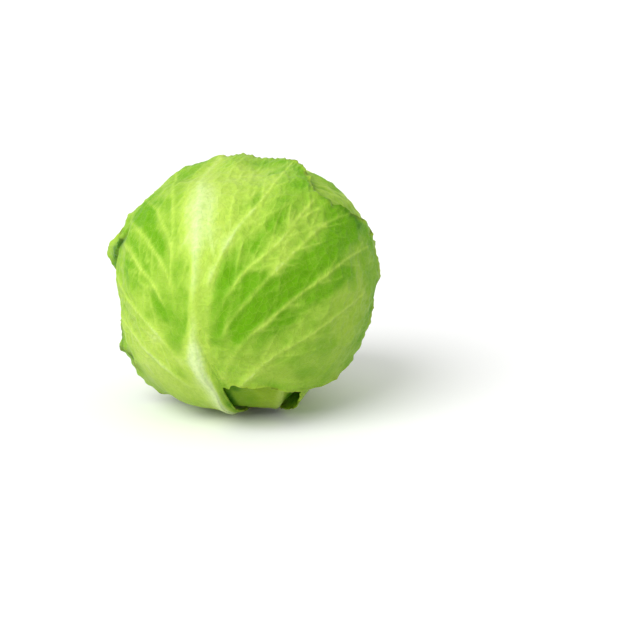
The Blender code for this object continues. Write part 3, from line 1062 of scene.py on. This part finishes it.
def leaf_depth(leaf, x, y, margin):
    """How deep the green is, apart from the ribs."""
    deep = DEEP_GREEN + CLOUD_DEPTH * wobble(x, y, CLOUD_SIZE, leaf.seed + 51)
    deep = deep + SMALL_CLOUD_DEPTH * wobble(x, y, SMALL_CLOUD_SIZE, leaf.seed + 52)
    deep += DEEP_EDGE * fading(margin, DEEP_EDGE_WIDTH)
    deep += brushed(leaf, x, y, leaf.hollows)
    for spot in spots(x, y, leaf.patches):
        deep += spot
    return np.clip(deep, 0, 1)


def under_others(index, x, y, directions, settings):
    """How open to the air each point of a leaf is, and how deep in the shade of a fold or of other leaves."""
    leaf = LEAVES[index]
    open_air = np.ones(len(directions))
    patchy = smooth_step(PATCH_LEVEL + PATCH_CONTRAST * wobble(x, y, PATCH_SIZE, leaf.seed + 91))
    shade = brushed(leaf, x, y, leaf.shades)
    if leaf.folds:
        shade *= np.where(x < FOLD_RIGHT_END, 1, between((EVEN_SHADE, 1), patchy))
    for above in LEAVES[index + 1 :]:
        distance, angle = lift_off(above, directions)
        open_air *= 1 - cover(above, distance, angle, HIDDEN_MARGIN, 2 * HIDDEN_MARGIN)
        past = (distance - outline(above, angle)) * LEAF_SCALE + ragged(above, angle, settings)
        width = CONTACT_WIDTH + CONTACT_SPREAD * np.maximum(swollen(above, angle, "lift"), 0)
        contact = CONTACT_SHADE * patchy * bell(np.maximum(past, 0), width, CONTACT_POWER)
        shade = np.maximum(shade, contact)
    return open_air, shade


def clear_selection():
    """Leaves edit mode and deselects everything."""
    if bpy.context.mode != "OBJECT":
        bpy.ops.object.mode_set(mode="OBJECT")
    bpy.ops.object.select_all(action="DESELECT")


def get_points(obj):
    """The places of an object's vertices."""
    co = np.empty(len(obj.data.vertices) * 3, np.float32)
    obj.data.vertices.foreach_get("co", co)
    return co.reshape(-1, 3).astype(float)


def set_points(obj, points):
    """Puts an object's vertices at the given places."""
    obj.data.vertices.foreach_set("co", points.astype(np.float32).ravel())
    obj.data.update()


def put_look(obj, x, y, **looks):
    """Gives a piece what its material reads: values at its points, and the flat leaf as its map."""
    for name, values in looks.items():
        made = obj.data.attributes.new(name, "FLOAT", "POINT")
        made.data.foreach_set("value", values.astype(np.float32))
    layer = obj.data.uv_layers.active or obj.data.uv_layers.new(name="leaf")
    layer.name = "leaf"
    corner = np.empty(len(obj.data.loops), int)
    obj.data.loops.foreach_get("vertex_index", corner)
    flat = np.column_stack([x, y])[corner] * MAP_SCALE
    layer.data.foreach_set("uv", flat.astype(np.float32).ravel())


def thicken(obj, blade, inner, outer):
    """Gives a leaf its thickness, and then sets each outer vertex straight outwards of its inner one."""
    solid = obj.modifiers.new("blade", "SOLIDIFY")
    solid.thickness = blade
    solid.offset = 1
    clear_selection()
    bpy.context.view_layer.objects.active = obj
    obj.select_set(True)
    bpy.ops.object.modifier_apply(modifier=solid.name)
    points = get_points(obj)
    first = points[: len(inner)]
    last = points[len(inner) :]
    added_first = np.abs(first - inner).mean() > np.abs(last - inner).mean()
    set_points(obj, np.concatenate([outer, inner] if added_first else [inner, outer]))


def finish_piece(obj, material, node):
    """Shades a piece smooth, gives it its material, hides the imported part that it stands in for, and hangs it
    from the root.
    """
    obj.data.shade_smooth()
    obj.data.materials.clear()
    obj.data.materials.append(material)
    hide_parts(node)
    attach(obj, "root")


def add_leaf(index, settings):
    """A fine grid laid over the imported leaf, with ribs, crumples and a ragged edge, given its thickness."""
    leaf = LEAVES[index]
    clear_selection()
    bpy.ops.mesh.primitive_grid_add(x_subdivisions=leaf.columns, y_subdivisions=leaf.rows, size=2)
    obj = bpy.context.object
    obj.name = leaf.name + "_fine"

    # The pull of the torn edge dies away inwards, slowly enough that the rows of the grid never cross
    unit = disc_grid(leaf.columns, leaf.rows)
    angle = np.arctan2(unit[:, 0], unit[:, 1])
    share = np.hypot(unit[:, 0], unit[:, 1])
    reach = outline(leaf, angle)
    torn = np.maximum(ragged(leaf, angle, settings) / LEAF_SCALE, TINY)
    distance = share * reach - torn * share ** np.clip(TORN_REACH * reach / torn, *TORN_POWERS)
    margin = (reach - share * reach) * LEAF_SCALE
    x = distance * np.sin(angle) * LEAF_SCALE
    y = distance * np.cos(angle) * LEAF_SCALE
    move = turned_over(leaf, x, y)
    moved_x = x + move[0]
    moved_y = y + move[1]
    directions = lay(leaf, np.hypot(moved_x, moved_y) / LEAF_SCALE, np.arctan2(moved_x, moved_y))

    open_air, shade = under_others(index, x, y, directions, settings)
    height = smooth_height(leaf, directions, reach)
    thick, pale = leaf_veins(leaf, x, y, settings)
    crumple, net = leaf_crumple(leaf, x, y, settings)
    calm = 1 - RIB_CALM * smooth_step(thick / RIB_CALM_HEIGHT)
    radius = ball_radius(directions) + raised(directions, DENTS) + height
    radius += open_air * (crumple * calm + ruffle(leaf, x, y, settings)) + move[2]
    thick += settings.net_height * net * calm
    blade = settings.blade * (1 - THIN_EDGE * fading(margin, THIN_EDGE_WIDTH))
    inner = directions * radius[:, None] + CENTRE
    outer = directions * (radius + blade + thick)[:, None] + CENTRE

    edge = np.maximum(fading(margin, EDGE_WIDTH), brushed(leaf, x, y, leaf.fringes))
    deep = leaf_depth(leaf, x, y, margin)
    dulled = 1 - DULL_BY * smooth_step((deep - DULL_FROM) / DULL_OVER)
    pale = np.clip((pale + NET_PALE * net * (1 - pale)) * dulled, 0, 1)
    set_points(obj, inner)
    put_look(obj, x, y, pale=pale, deep=deep, edge=edge, shade=shade)
    thicken(obj, settings.blade, inner, outer)
    finish_piece(obj, leaf_material(leaf.slot), leaf.name)


def add_heart(settings):
    """The ball of folded inner leaves: each lies over the ones before it, with its midrib and a low edge."""
    clear_selection()
    bpy.ops.mesh.primitive_uv_sphere_add(segments=HEART_SEGMENTS, ring_count=HEART_RINGS, radius=1)
    obj = bpy.context.object
    obj.name = "heart_fine"
    directions = get_points(obj)
    directions /= np.linalg.norm(directions, axis=1)[:, None]
    layers, rise, pale, deep, edge, x, y = (np.zeros(len(directions)) for _ in range(7))
    for number in range(HEART_LEAVES):
        leaf = replace(HEART_LEAF, azimuth=number * HEART_TURN, seed=HEART_LEAF.seed + number)
        distance, angle = lift_off(leaf, directions)
        there = cover(leaf, distance, angle, 0, HEART_EDGE)
        flat_x = distance * np.sin(angle) * LEAF_SCALE
        flat_y = distance * np.cos(angle) * LEAF_SCALE
        margin = (outline(leaf, angle) - distance) * LEAF_SCALE
        thick, light = leaf_veins(leaf, flat_x, flat_y, settings)
        layers += there
        rise = rise * (1 - there) + np.minimum(thick * HEART_RIB, HEART_STEP) * there
        pale = pale * (1 - there) + light * there
        deep = deep * (1 - there) + HEART_DEEP * fading(margin, HEART_DEEP_WIDTH) * there
        edge = edge * (1 - there) + fading(margin, HEART_EDGE_WIDTH) * there
        x = np.where(there > 0.5, flat_x, x)
        y = np.where(there > 0.5, flat_y, y)
    sunk = HEART_GAP + HEART_STEP * np.clip(HEART_LEAVES / 2 + 1 - layers, 0, None)
    ball = ball_radius(directions) + raised(directions, DENTS)
    set_points(obj, directions * (ball - sunk - HEART_STEP + rise)[:, None] + CENTRE)
    put_look(obj, x, y, pale=pale, deep=deep, edge=edge * HEART_EDGE_COLOUR, shade=edge * 0)
    finish_piece(obj, leaf_material("heart"), "heart")


def select_faces(obj, wanted):
    """Selects the faces whose middle and normal pass the test, and no others."""
    bpy.ops.object.mode_set(mode="OBJECT")
    for part in (obj.data.vertices, obj.data.edges, obj.data.polygons):
        part.foreach_set("select", np.zeros(len(part), bool))
    for face in obj.data.polygons:
        face.select = wanted(face.center, face.normal)
    bpy.ops.object.mode_set(mode="EDIT")
    bpy.ops.mesh.select_mode(type="FACE")


def add_stem():
    """The cut stem: a stub with rings of the cut on its foot, scars round its side and a cone above it."""
    clear_selection()
    bpy.ops.mesh.primitive_cylinder_add(
        vertices=STEM_SIDES, radius=STEM_RADIUS, depth=STEM_SHOULDER, location=(0, 0, STEM_SHOULDER / 2)
    )
    obj = bpy.context.object
    obj.name = "stem_fine"
    bpy.ops.object.transform_apply(location=True)
    select_faces(obj, lambda middle, normal: normal.z > 0.9)
    bpy.ops.mesh.extrude_region_move(TRANSFORM_OT_translate={"value": (0, 0, STEM_TOP - STEM_SHOULDER)})
    narrow = STEM_TOP_RADIUS / STEM_RADIUS
    bpy.ops.transform.resize(value=(narrow, narrow, 1), center_override=(0, 0, STEM_TOP))
    select_faces(obj, lambda middle, normal: normal.z < -0.9)
    for step in CUT_RINGS:
        bpy.ops.mesh.inset(thickness=step)
    select_faces(obj, lambda middle, normal: abs(normal.z) < 0.3 and middle.z < STEM_SHOULDER)
    bpy.ops.mesh.subdivide(number_cuts=STEM_CUTS, quadcorner="INNERVERT")
    bpy.ops.object.mode_set(mode="OBJECT")

    points = get_points(obj)
    height = points[:, 2]
    reach = np.hypot(points[:, 0], points[:, 1])
    turn = np.arctan2(points[:, 0], -points[:, 1])
    side = (reach > STEM_RADIUS * 0.97) & (height < STEM_SHOULDER * 1.01)
    scars = np.cos(2 * math.pi * (height / SCAR_SPACING + SCAR_SLANT * np.sin(turn * SCARS_ROUND)))
    shrink = np.where(side, 1 - SCAR_DEPTH * (0.5 - 0.5 * scars), 1)
    shrink -= RIM_DEPTH * side * fading(height, RIM_HEIGHT)
    points[:, :2] *= shrink[:, None]
    dish = fading(reach, STEM_RADIUS * DISH_SHARE)
    rough = wobble(points[:, 0], points[:, 1], ROUGH_SIZE, ROUGH_SEED) * ROUGH_HEIGHT + ROUGH_HEIGHT
    rough = rough * (reach < STEM_RADIUS * ROUGH_SHARE)
    points[:, 2] += (height < FOOT_HEIGHT) * (DISH_DEPTH * dish + rough)
    set_points(obj, points)
    finish_piece(obj, stem_material(), "stem")


def join(tree, made, inputs):
    """Links each input of a node, or sets it where its value is plain."""
    for key, value in inputs.items():
        if isinstance(value, bpy.types.NodeSocket):
            tree.links.new(value, made.inputs[key])
        else:
            made.inputs[key].default_value = value


def node(tree, kind, inputs=None, **settings):
    """A new node with its settings, and with each input set or linked."""
    made = tree.nodes.new(kind)
    for name, value in settings.items():
        setattr(made, name, value)
    join(tree, made, inputs or {})
    return made


def maths(tree, operation, *values):
    """The result of one sum on values or sockets."""
    return node(tree, "ShaderNodeMath", dict(enumerate(values)), operation=operation).outputs[0]


def mixed(tree, share, first, second, blend="MIX"):
    """The first colour with a share of the second mixed in."""
    made = node(tree, "ShaderNodeMix", {0: share, 6: first, 7: second}, data_type="RGBA", blend_type=blend)
    return made.outputs[2]


def layered(tree, colour, layers):
    """A colour with others laid over it in turn, each in its share."""
    for share, tint in layers:
        colour = mixed(tree, share, colour, (*tint, 1))
    return colour


def spread(tree, value, low, high, to_low=0.0, to_high=1.0):
    """A value taken smoothly from one range to another."""
    inputs = {"Value": value, "From Min": low, "From Max": high, "To Min": to_low, "To Max": to_high}
    return node(tree, "ShaderNodeMapRange", inputs, interpolation_type="SMOOTHSTEP").outputs[0]


def attribute(tree, name):
    """One of the values that a piece carries at its points."""
    return node(tree, "ShaderNodeAttribute", attribute_name=name).outputs["Fac"]


def noise(tree, place, scale, detail):
    """Soft noise at a place, finer for a larger scale."""
    return node(tree, "ShaderNodeTexNoise", {"Vector": place, "Scale": scale, "Detail": detail})


def bumped(tree, height, strength):
    """The normal of a surface with fine relief."""
    bump = node(tree, "ShaderNodeBump", {"Height": height, "Strength": strength, "Distance": BUMP_HEIGHT})
    return bump.outputs["Normal"]


def new_group(name, inputs, outputs):
    """A node group with named inputs and plain values out, its input sockets by name, and its output node."""
    group = bpy.data.node_groups.new(name, "ShaderNodeTree")
    for label, kind in inputs.items():
        group.interface.new_socket(label, in_out="INPUT", socket_type=kind)
    for label in outputs:
        group.interface.new_socket(label, in_out="OUTPUT", socket_type="NodeSocketFloat")
    return group, node(group, "NodeGroupInput").outputs, node(group, "NodeGroupOutput")


def vein_net_group():
    """Fine net of veins between the ribs, in two sizes: how strongly each point lies on a vein."""
    found = bpy.data.node_groups.get("vein_net")
    if found:
        return found
    inputs = {"Vector": "NodeSocketVector", "Cells": "NodeSocketFloat", "Width": "NodeSocketFloat"}
    group, given, out = new_group("vein_net", inputs, ("Line",))
    uneven = noise(group, given["Vector"], NET_SHIFT_SCALE, 2.0).outputs["Color"]
    middle = node(group, "ShaderNodeVectorMath", {0: uneven, 1: (0.5, 0.5, 0.5)}, operation="SUBTRACT")
    small = node(group, "ShaderNodeVectorMath", {0: middle.outputs[0], "Scale": NET_SHIFT}, operation="SCALE")
    shifted = node(group, "ShaderNodeVectorMath", {0: given["Vector"], 1: small.outputs[0]}, operation="ADD")
    lines = []
    for times in NET_SIZES:
        cells = node(
            group,
            "ShaderNodeTexVoronoi",
            {"Vector": shifted.outputs[0], "Scale": maths(group, "MULTIPLY", given["Cells"], times)},
            voronoi_dimensions="2D",
            feature="DISTANCE_TO_EDGE",
        )
        lines.append(spread(group, cells.outputs["Distance"], 0.0, given["Width"], 1.0, 0.0))
    fine = maths(group, "MULTIPLY", lines[1], FINE_NET)
    join(group, out, {"Line": maths(group, "MAXIMUM", lines[0], fine)})
    return group


def leaf_skin_group():
    """Uneven tone and grain of a living leaf's skin."""
    found = bpy.data.node_groups.get("leaf_skin")
    if found:
        return found
    group, given, out = new_group("leaf_skin", {"Vector": "NodeSocketVector"}, SKIN_NOISE)
    for label, (scale, detail) in SKIN_NOISE.items():
        group.links.new(noise(group, given["Vector"], scale, detail).outputs["Fac"], out.inputs[label])
    return group


def use_group(tree, group, inputs):
    """The outputs of a node group placed in a material."""
    return node(tree, "ShaderNodeGroup", inputs, node_tree=group).outputs


def new_material(name):
    """A material with its node tree and its shader."""
    made = bpy.data.materials.new(name)
    made.use_nodes = True
    return made, made.node_tree, made.node_tree.nodes["Principled BSDF"]


def leaf_material(slot):
    """Waxy leaf: pale ribs and veins over uneven green, deeper in places, with light passing through it, and
    painted shade in folds, beside the keel and past the edges of leaves lying over, and all over leaves that
    lie under others.
    """
    name = "living_" + slot
    found = bpy.data.materials.get(name)
    if found:
        return found
    colours = bpy.context.scene.lettuce_colours
    made, tree, shader = new_material(name)
    place = node(tree, "ShaderNodeTexCoord").outputs["Object"]
    flat = node(tree, "ShaderNodeUVMap", uv_map="leaf").outputs["UV"]
    skin = use_group(tree, leaf_skin_group(), {"Vector": place})
    net = use_group(tree, vein_net_group(), {"Vector": flat, "Cells": NET_CELLS, "Width": NET_WIDTH})["Line"]
    deep = maths(tree, "ADD", attribute(tree, "deep"), spread(tree, skin["Blotch"], 0.35, 0.65, -0.16, 0.16))
    pale = attribute(tree, "pale")
    edge = attribute(tree, "edge")
    thin = maths(tree, "MULTIPLY", edge, spread(tree, skin["Blotch"], 0.40, 0.60, 0.15, 0.75))
    # Darker olive spots along the edge, where the blotch noise is high
    dark_edge_spots = maths(tree, "MULTIPLY", edge, spread(tree, skin["Blotch"], 0.56, 0.62, 0.0, 0.85))
    layers = (
        (spread(tree, deep, 0.05, 0.95), colours.deep_green),
        (maths(tree, "MULTIPLY", net, 0.15), colours.vein),
        (spread(tree, pale, 0.0, 0.62), colours.vein),
        (spread(tree, pale, 0.45, 1.0), colours.rib),
        (spread(tree, skin["Speck"], 0.42, 0.62, 0.0, 0.14), colours.deep_green),
        (thin, colours.edge),
        (dark_edge_spots, colours.dark_edge_spots),
    )
    colour = layered(tree, (*colours.light_green, 1), layers)
    # Painted shade: leaves that lie under others are darkened all over by the shaded filter
    if slot == "under_leaf":
        colour = mixed(tree, 1.0, colour, (*colours.shaded, 1), "MULTIPLY")
    # Painted shade: the pocket colour is mixed in as far as the shade attribute reaches, in folds, beside the
    # keel and past the edges of leaves lying over
    colour = mixed(tree, attribute(tree, "shade"), colour, (*colours.pocket, 1))
    height = maths(tree, "MULTIPLY", net, 0.8)
    for grain, share in (("Speck", 0.55), ("Grain", 0.12)):
        height = maths(tree, "ADD", height, maths(tree, "MULTIPLY", skin[grain], share))
    finish = {
        "Base Color": colour,
        "Roughness": spread(tree, skin["Blotch"], 0.3, 0.7, 0.34, 0.50),
        "Subsurface Weight": 0.45,
        "Subsurface Radius": (0.8, 1.0, 0.25),
        "Subsurface Scale": 0.0022,
        "Specular IOR Level": 0.14,
        "Specular Tint": (0.9, 1.0, 0.35, 1),
        "Coat Weight": 0.02,
        "Coat Roughness": 0.28,
        "Normal": bumped(tree, height, 0.55),
    }
    join(tree, shader, finish)
    return made


def stem_material():
    """Pale cut stem: moist cream flesh, a greener ring, a browned rim, and green up the side of the stub."""
    made, tree, shader = new_material("cut_stem")
    place = node(tree, "ShaderNodeTexCoord").outputs["Object"]
    skin = use_group(tree, leaf_skin_group(), {"Vector": place})
    flat = node(tree, "ShaderNodeVectorMath", {0: place, 1: (1, 1, 0)}, operation="MULTIPLY").outputs[0]
    reach = node(tree, "ShaderNodeVectorMath", {0: flat}, operation="LENGTH").outputs["Value"]
    height = node(tree, "ShaderNodeSeparateXYZ", {0: place}).outputs["Z"]
    uneven = maths(tree, "ADD", reach, spread(tree, skin["Speck"], 0.3, 0.7, -0.0012, 0.0012))
    ring_inside = spread(tree, uneven, 0.0062, 0.0086)
    ring_outside = spread(tree, uneven, 0.0086, 0.0108, 1.0, 0.0)
    ring = maths(tree, "MULTIPLY", ring_inside, ring_outside)
    rim = spread(tree, uneven, 0.0112, 0.0142)
    layers = (
        (spread(tree, skin["Speck"], 0.35, 0.65), OLD_FLESH),
        (maths(tree, "MULTIPLY", ring, 0.6), GREEN_RING),
        (maths(tree, "MULTIPLY", rim, spread(tree, skin["Blotch"], 0.3, 0.6, 0.35, 0.9)), BROWN_RIM),
        (maths(tree, "MULTIPLY", spread(tree, skin["Blotch"], 0.5, 0.68), 0.45), BLUSH),
        (spread(tree, height, 0.0015, 0.0045), STEM_SIDE),
    )
    finish = {
        "Base Color": layered(tree, (*FLESH, 1), layers),
        "Roughness": spread(tree, skin["Blotch"], 0.3, 0.7, 0.42, 0.62),
        "Subsurface Weight": 0.3,
        "Subsurface Radius": (1.0, 0.9, 0.5),
        "Subsurface Scale": 0.002,
        "Normal": bumped(tree, skin["Speck"], 0.6),
    }
    join(tree, shader, finish)
    return made


class LettuceLeaves(bpy.types.PropertyGroup):
    """Sizes of the wrapper leaves."""

    blade: FloatProperty(name="Blade", description="Thickness of the blade", default=0.0008, unit="LENGTH")
    rib_height: FloatProperty(
        name="Midrib", description="Height of the midrib at the leaf's base", default=0.0040, unit="LENGTH"
    )
    net_height: FloatProperty(
        name="Net", description="Height of the net of veins", default=0.00022, unit="LENGTH"
    )
    dent_depth: FloatProperty(
        name="Dents", description="Depth of the dents between the veins", default=0.0006, unit="LENGTH"
    )
    roll_height: FloatProperty(
        name="Rolls", description="Height of the slow rolls", default=0.0009, unit="LENGTH"
    )
    ruffle_height: FloatProperty(
        name="Ruffle", description="How far the edge waves", default=0.0040, unit="LENGTH"
    )
    ruffle_width: FloatProperty(
        name="Ruffle width", description="Width of the waved strip at the edge", default=0.018, unit="LENGTH"
    )
    tooth_depth: FloatProperty(
        name="Teeth", description="Depth of the ragged edge", default=0.0014, unit="LENGTH"
    )


class LettuceColours(bpy.types.PropertyGroup):
    """Colours of the leaves."""

    light_green: FloatVectorProperty(
        name="Light green", description="Thin young blade", default=(0.38, 0.60, 0.065), subtype="COLOR"
    )
    deep_green: FloatVectorProperty(
        name="Deep green",
        description="Blade that has had the most sun",
        default=(0.14, 0.39, 0.003),
        subtype="COLOR",
    )
    vein: FloatVectorProperty(
        name="Veins", description="Net of veins", default=(0.52, 0.73, 0.105), subtype="COLOR"
    )
    rib: FloatVectorProperty(
        name="Ribs", description="Pale ribs", default=(0.74, 0.89, 0.42), subtype="COLOR"
    )
    edge: FloatVectorProperty(
        name="Edge", description="Thin edge", default=(0.42, 0.58, 0.05), subtype="COLOR"
    )
    # Darker olive spots along the edge
    dark_edge_spots: FloatVectorProperty(
        name="Tired edge",
        description="Bruised spots along the edge",
        default=(0.13, 0.20, 0.012),
        subtype="COLOR",
    )
    # Painted shade: the dark green that the shade attribute mixes in, for the shade of folds and of the edges
    # of leaves lying over
    pocket: FloatVectorProperty(
        name="Pocket", description="Inside of a fold", default=(0.028, 0.17, 0.002), subtype="COLOR"
    )
    # Painted shade: a filter that darkens all over the leaves that lie under others
    shaded: FloatVectorProperty(
        name="Shaded",
        description="Filter over leaves that lie under others",
        default=(0.70, 0.76, 0.36),
        subtype="COLOR",
    )


class LettuceStage(bpy.types.PropertyGroup):
    """Stage, lights and camera."""

    distance: FloatProperty(name="Distance", description="Camera to head", default=1.25, unit="LENGTH")
    elevation: FloatProperty(
        name="Elevation", description="Camera above the horizon", default=math.radians(15), subtype="ANGLE"
    )
    view_width: FloatProperty(
        name="View width", description="Width of the view at the head", default=0.4032, unit="LENGTH"
    )
    key_strength: FloatProperty(name="Key light", description="Strength of the main light", default=2.4)
    sky: FloatProperty(name="Sky", description="Brightness all round", default=0.70)


def look_at(obj, target):
    """Turns a light or a camera towards a point."""
    obj.rotation_euler = (Vector(target) - obj.location).to_track_quat("-Z", "Y").to_euler()


def seen_by_camera(tree):
    """1 for what the camera sees straight, and 0 for light on its way between surfaces."""
    return node(tree, "ShaderNodeLightPath").outputs["Is Camera Ray"]


def floor_material():
    """White to the camera, duller in what it throws back, and clear from below."""
    made, tree, shader = new_material("floor")
    behind = node(tree, "ShaderNodeNewGeometry").outputs["Backfacing"]
    finish = {
        "Base Color": mixed(tree, seen_by_camera(tree), FLOOR_THROWN_BACK, FLOOR_SEEN),
        "Roughness": 0.9,
        "Specular IOR Level": 0.1,
        "Alpha": maths(tree, "SUBTRACT", 1.0, behind),
    }
    join(tree, shader, finish)
    return made


def add_floor():
    """A wide flat ring, with a hole under the stem so that the cut face can be seen from below."""
    clear_selection()
    bpy.ops.mesh.primitive_circle_add(vertices=FLOOR_SIDES, radius=FLOOR_HOLE)
    floor = bpy.context.object
    floor.name = "floor"
    bpy.ops.object.mode_set(mode="EDIT")
    bpy.ops.mesh.select_all(action="SELECT")
    bpy.ops.mesh.extrude_edges_move(TRANSFORM_OT_translate={"value": (0, 0, 0)})
    wide = FLOOR_RADIUS / FLOOR_HOLE
    bpy.ops.transform.resize(value=(wide, wide, 1), center_override=(0, 0, 0))
    bpy.ops.mesh.select_all(action="SELECT")
    bpy.ops.mesh.normals_make_consistent(inside=False)
    bpy.ops.object.mode_set(mode="OBJECT")
    if floor.data.polygons[0].normal.z < 0:
        floor.data.flip_normals()
    floor.data.materials.append(floor_material())


def white_world(strength):
    """A plain white background, which lights the head with the given strength."""
    world = bpy.data.worlds.new("white")
    world.use_nodes = True
    tree = world.node_tree
    bright = spread(tree, seen_by_camera(tree), 0.0, 1.0, strength, 1.0)
    join(tree, tree.nodes["Background"], {"Color": (1, 1, 1, 1), "Strength": bright})
    return world


def add_key_light(strength):
    """The soft main light, from the left, the front and above."""
    clear_selection()
    bpy.ops.object.light_add(type="SUN", location=Vector(KEY_TOWARD) * KEY_DISTANCE)
    light = bpy.context.object
    light.name = "key"
    light.data.energy = strength
    light.data.angle = KEY_SOFTNESS
    look_at(light, (0, 0, 0))


def add_camera(settings):
    """The camera, which looks slightly down, with the head left of and above the middle of its view."""
    up = Vector((0, math.sin(settings.elevation), math.cos(settings.elevation)))
    back = Vector((0, -math.cos(settings.elevation), math.sin(settings.elevation)))
    aim = Vector(CENTRE) + Vector((PIXEL * HEAD_LEFT, 0, 0)) - up * PIXEL * HEAD_ABOVE
    clear_selection()
    bpy.ops.object.camera_add(location=aim + back * settings.distance)
    camera = bpy.context.object
    camera.name = "camera"
    camera.data.sensor_width = SENSOR_WIDTH
    camera.data.lens = SENSOR_WIDTH * settings.distance / settings.view_width
    camera.data.clip_start = CLIP_START
    camera.data.clip_end = CLIP_END
    look_at(camera, aim)
    return camera


class LETTUCE_OT_leaves(bpy.types.Operator):
    """Add the six wrapper leaves"""

    bl_idname = "lettuce.leaves"
    bl_label = "Wrapper leaves"

    def execute(self, context):
        for index in range(len(LEAVES)):
            add_leaf(index, context.scene.lettuce_leaves)
        return {"FINISHED"}


class LETTUCE_OT_heart(bpy.types.Operator):
    """Add the heart of folded leaves"""

    bl_idname = "lettuce.heart"
    bl_label = "Heart"

    def execute(self, context):
        add_heart(context.scene.lettuce_leaves)
        return {"FINISHED"}


class LETTUCE_OT_stem(bpy.types.Operator):
    """Add the cut stem"""

    bl_idname = "lettuce.stem"
    bl_label = "Stem"

    def execute(self, context):
        add_stem()
        return {"FINISHED"}


class LETTUCE_OT_stage(bpy.types.Operator):
    """Add the floor, the lights and the camera"""

    bl_idname = "lettuce.stage"
    bl_label = "Stage"

    def execute(self, context):
        settings = context.scene.lettuce_stage
        context.scene.view_settings.view_transform = "Standard"
        add_floor()
        context.scene.world = white_world(settings.sky)
        add_key_light(settings.key_strength)
        context.scene.camera = add_camera(settings)
        return {"FINISHED"}


class LETTUCE_PT_panel(bpy.types.Panel):
    """Buttons for the pieces of the head"""

    bl_label = "Lettuce"
    bl_idname = "LETTUCE_PT_panel"
    bl_space_type = "VIEW_3D"
    bl_region_type = "UI"
    bl_category = "Lettuce"

    def draw(self, context):
        for operator in OPERATORS:
            self.layout.operator(operator.bl_idname)


OPERATORS = (LETTUCE_OT_stem, LETTUCE_OT_heart, LETTUCE_OT_leaves, LETTUCE_OT_stage)
GROUPS = {
    "lettuce_leaves": LettuceLeaves,
    "lettuce_colours": LettuceColours,
    "lettuce_stage": LettuceStage,
}
CLASSES = (*GROUPS.values(), *OPERATORS, LETTUCE_PT_panel)


def register():
    for cls in CLASSES:
        bpy.utils.register_class(cls)
    for name, group in GROUPS.items():
        setattr(bpy.types.Scene, name, PointerProperty(type=group))


def unregister():
    for name in GROUPS:
        delattr(bpy.types.Scene, name)
    for cls in reversed(CLASSES):
        bpy.utils.unregister_class(cls)


def main():
    register()
    bpy.ops.lettuce.stem()
    bpy.ops.lettuce.heart()
    bpy.ops.lettuce.leaves()
    bpy.ops.lettuce.stage()


if __name__ == "__main__":
    main()
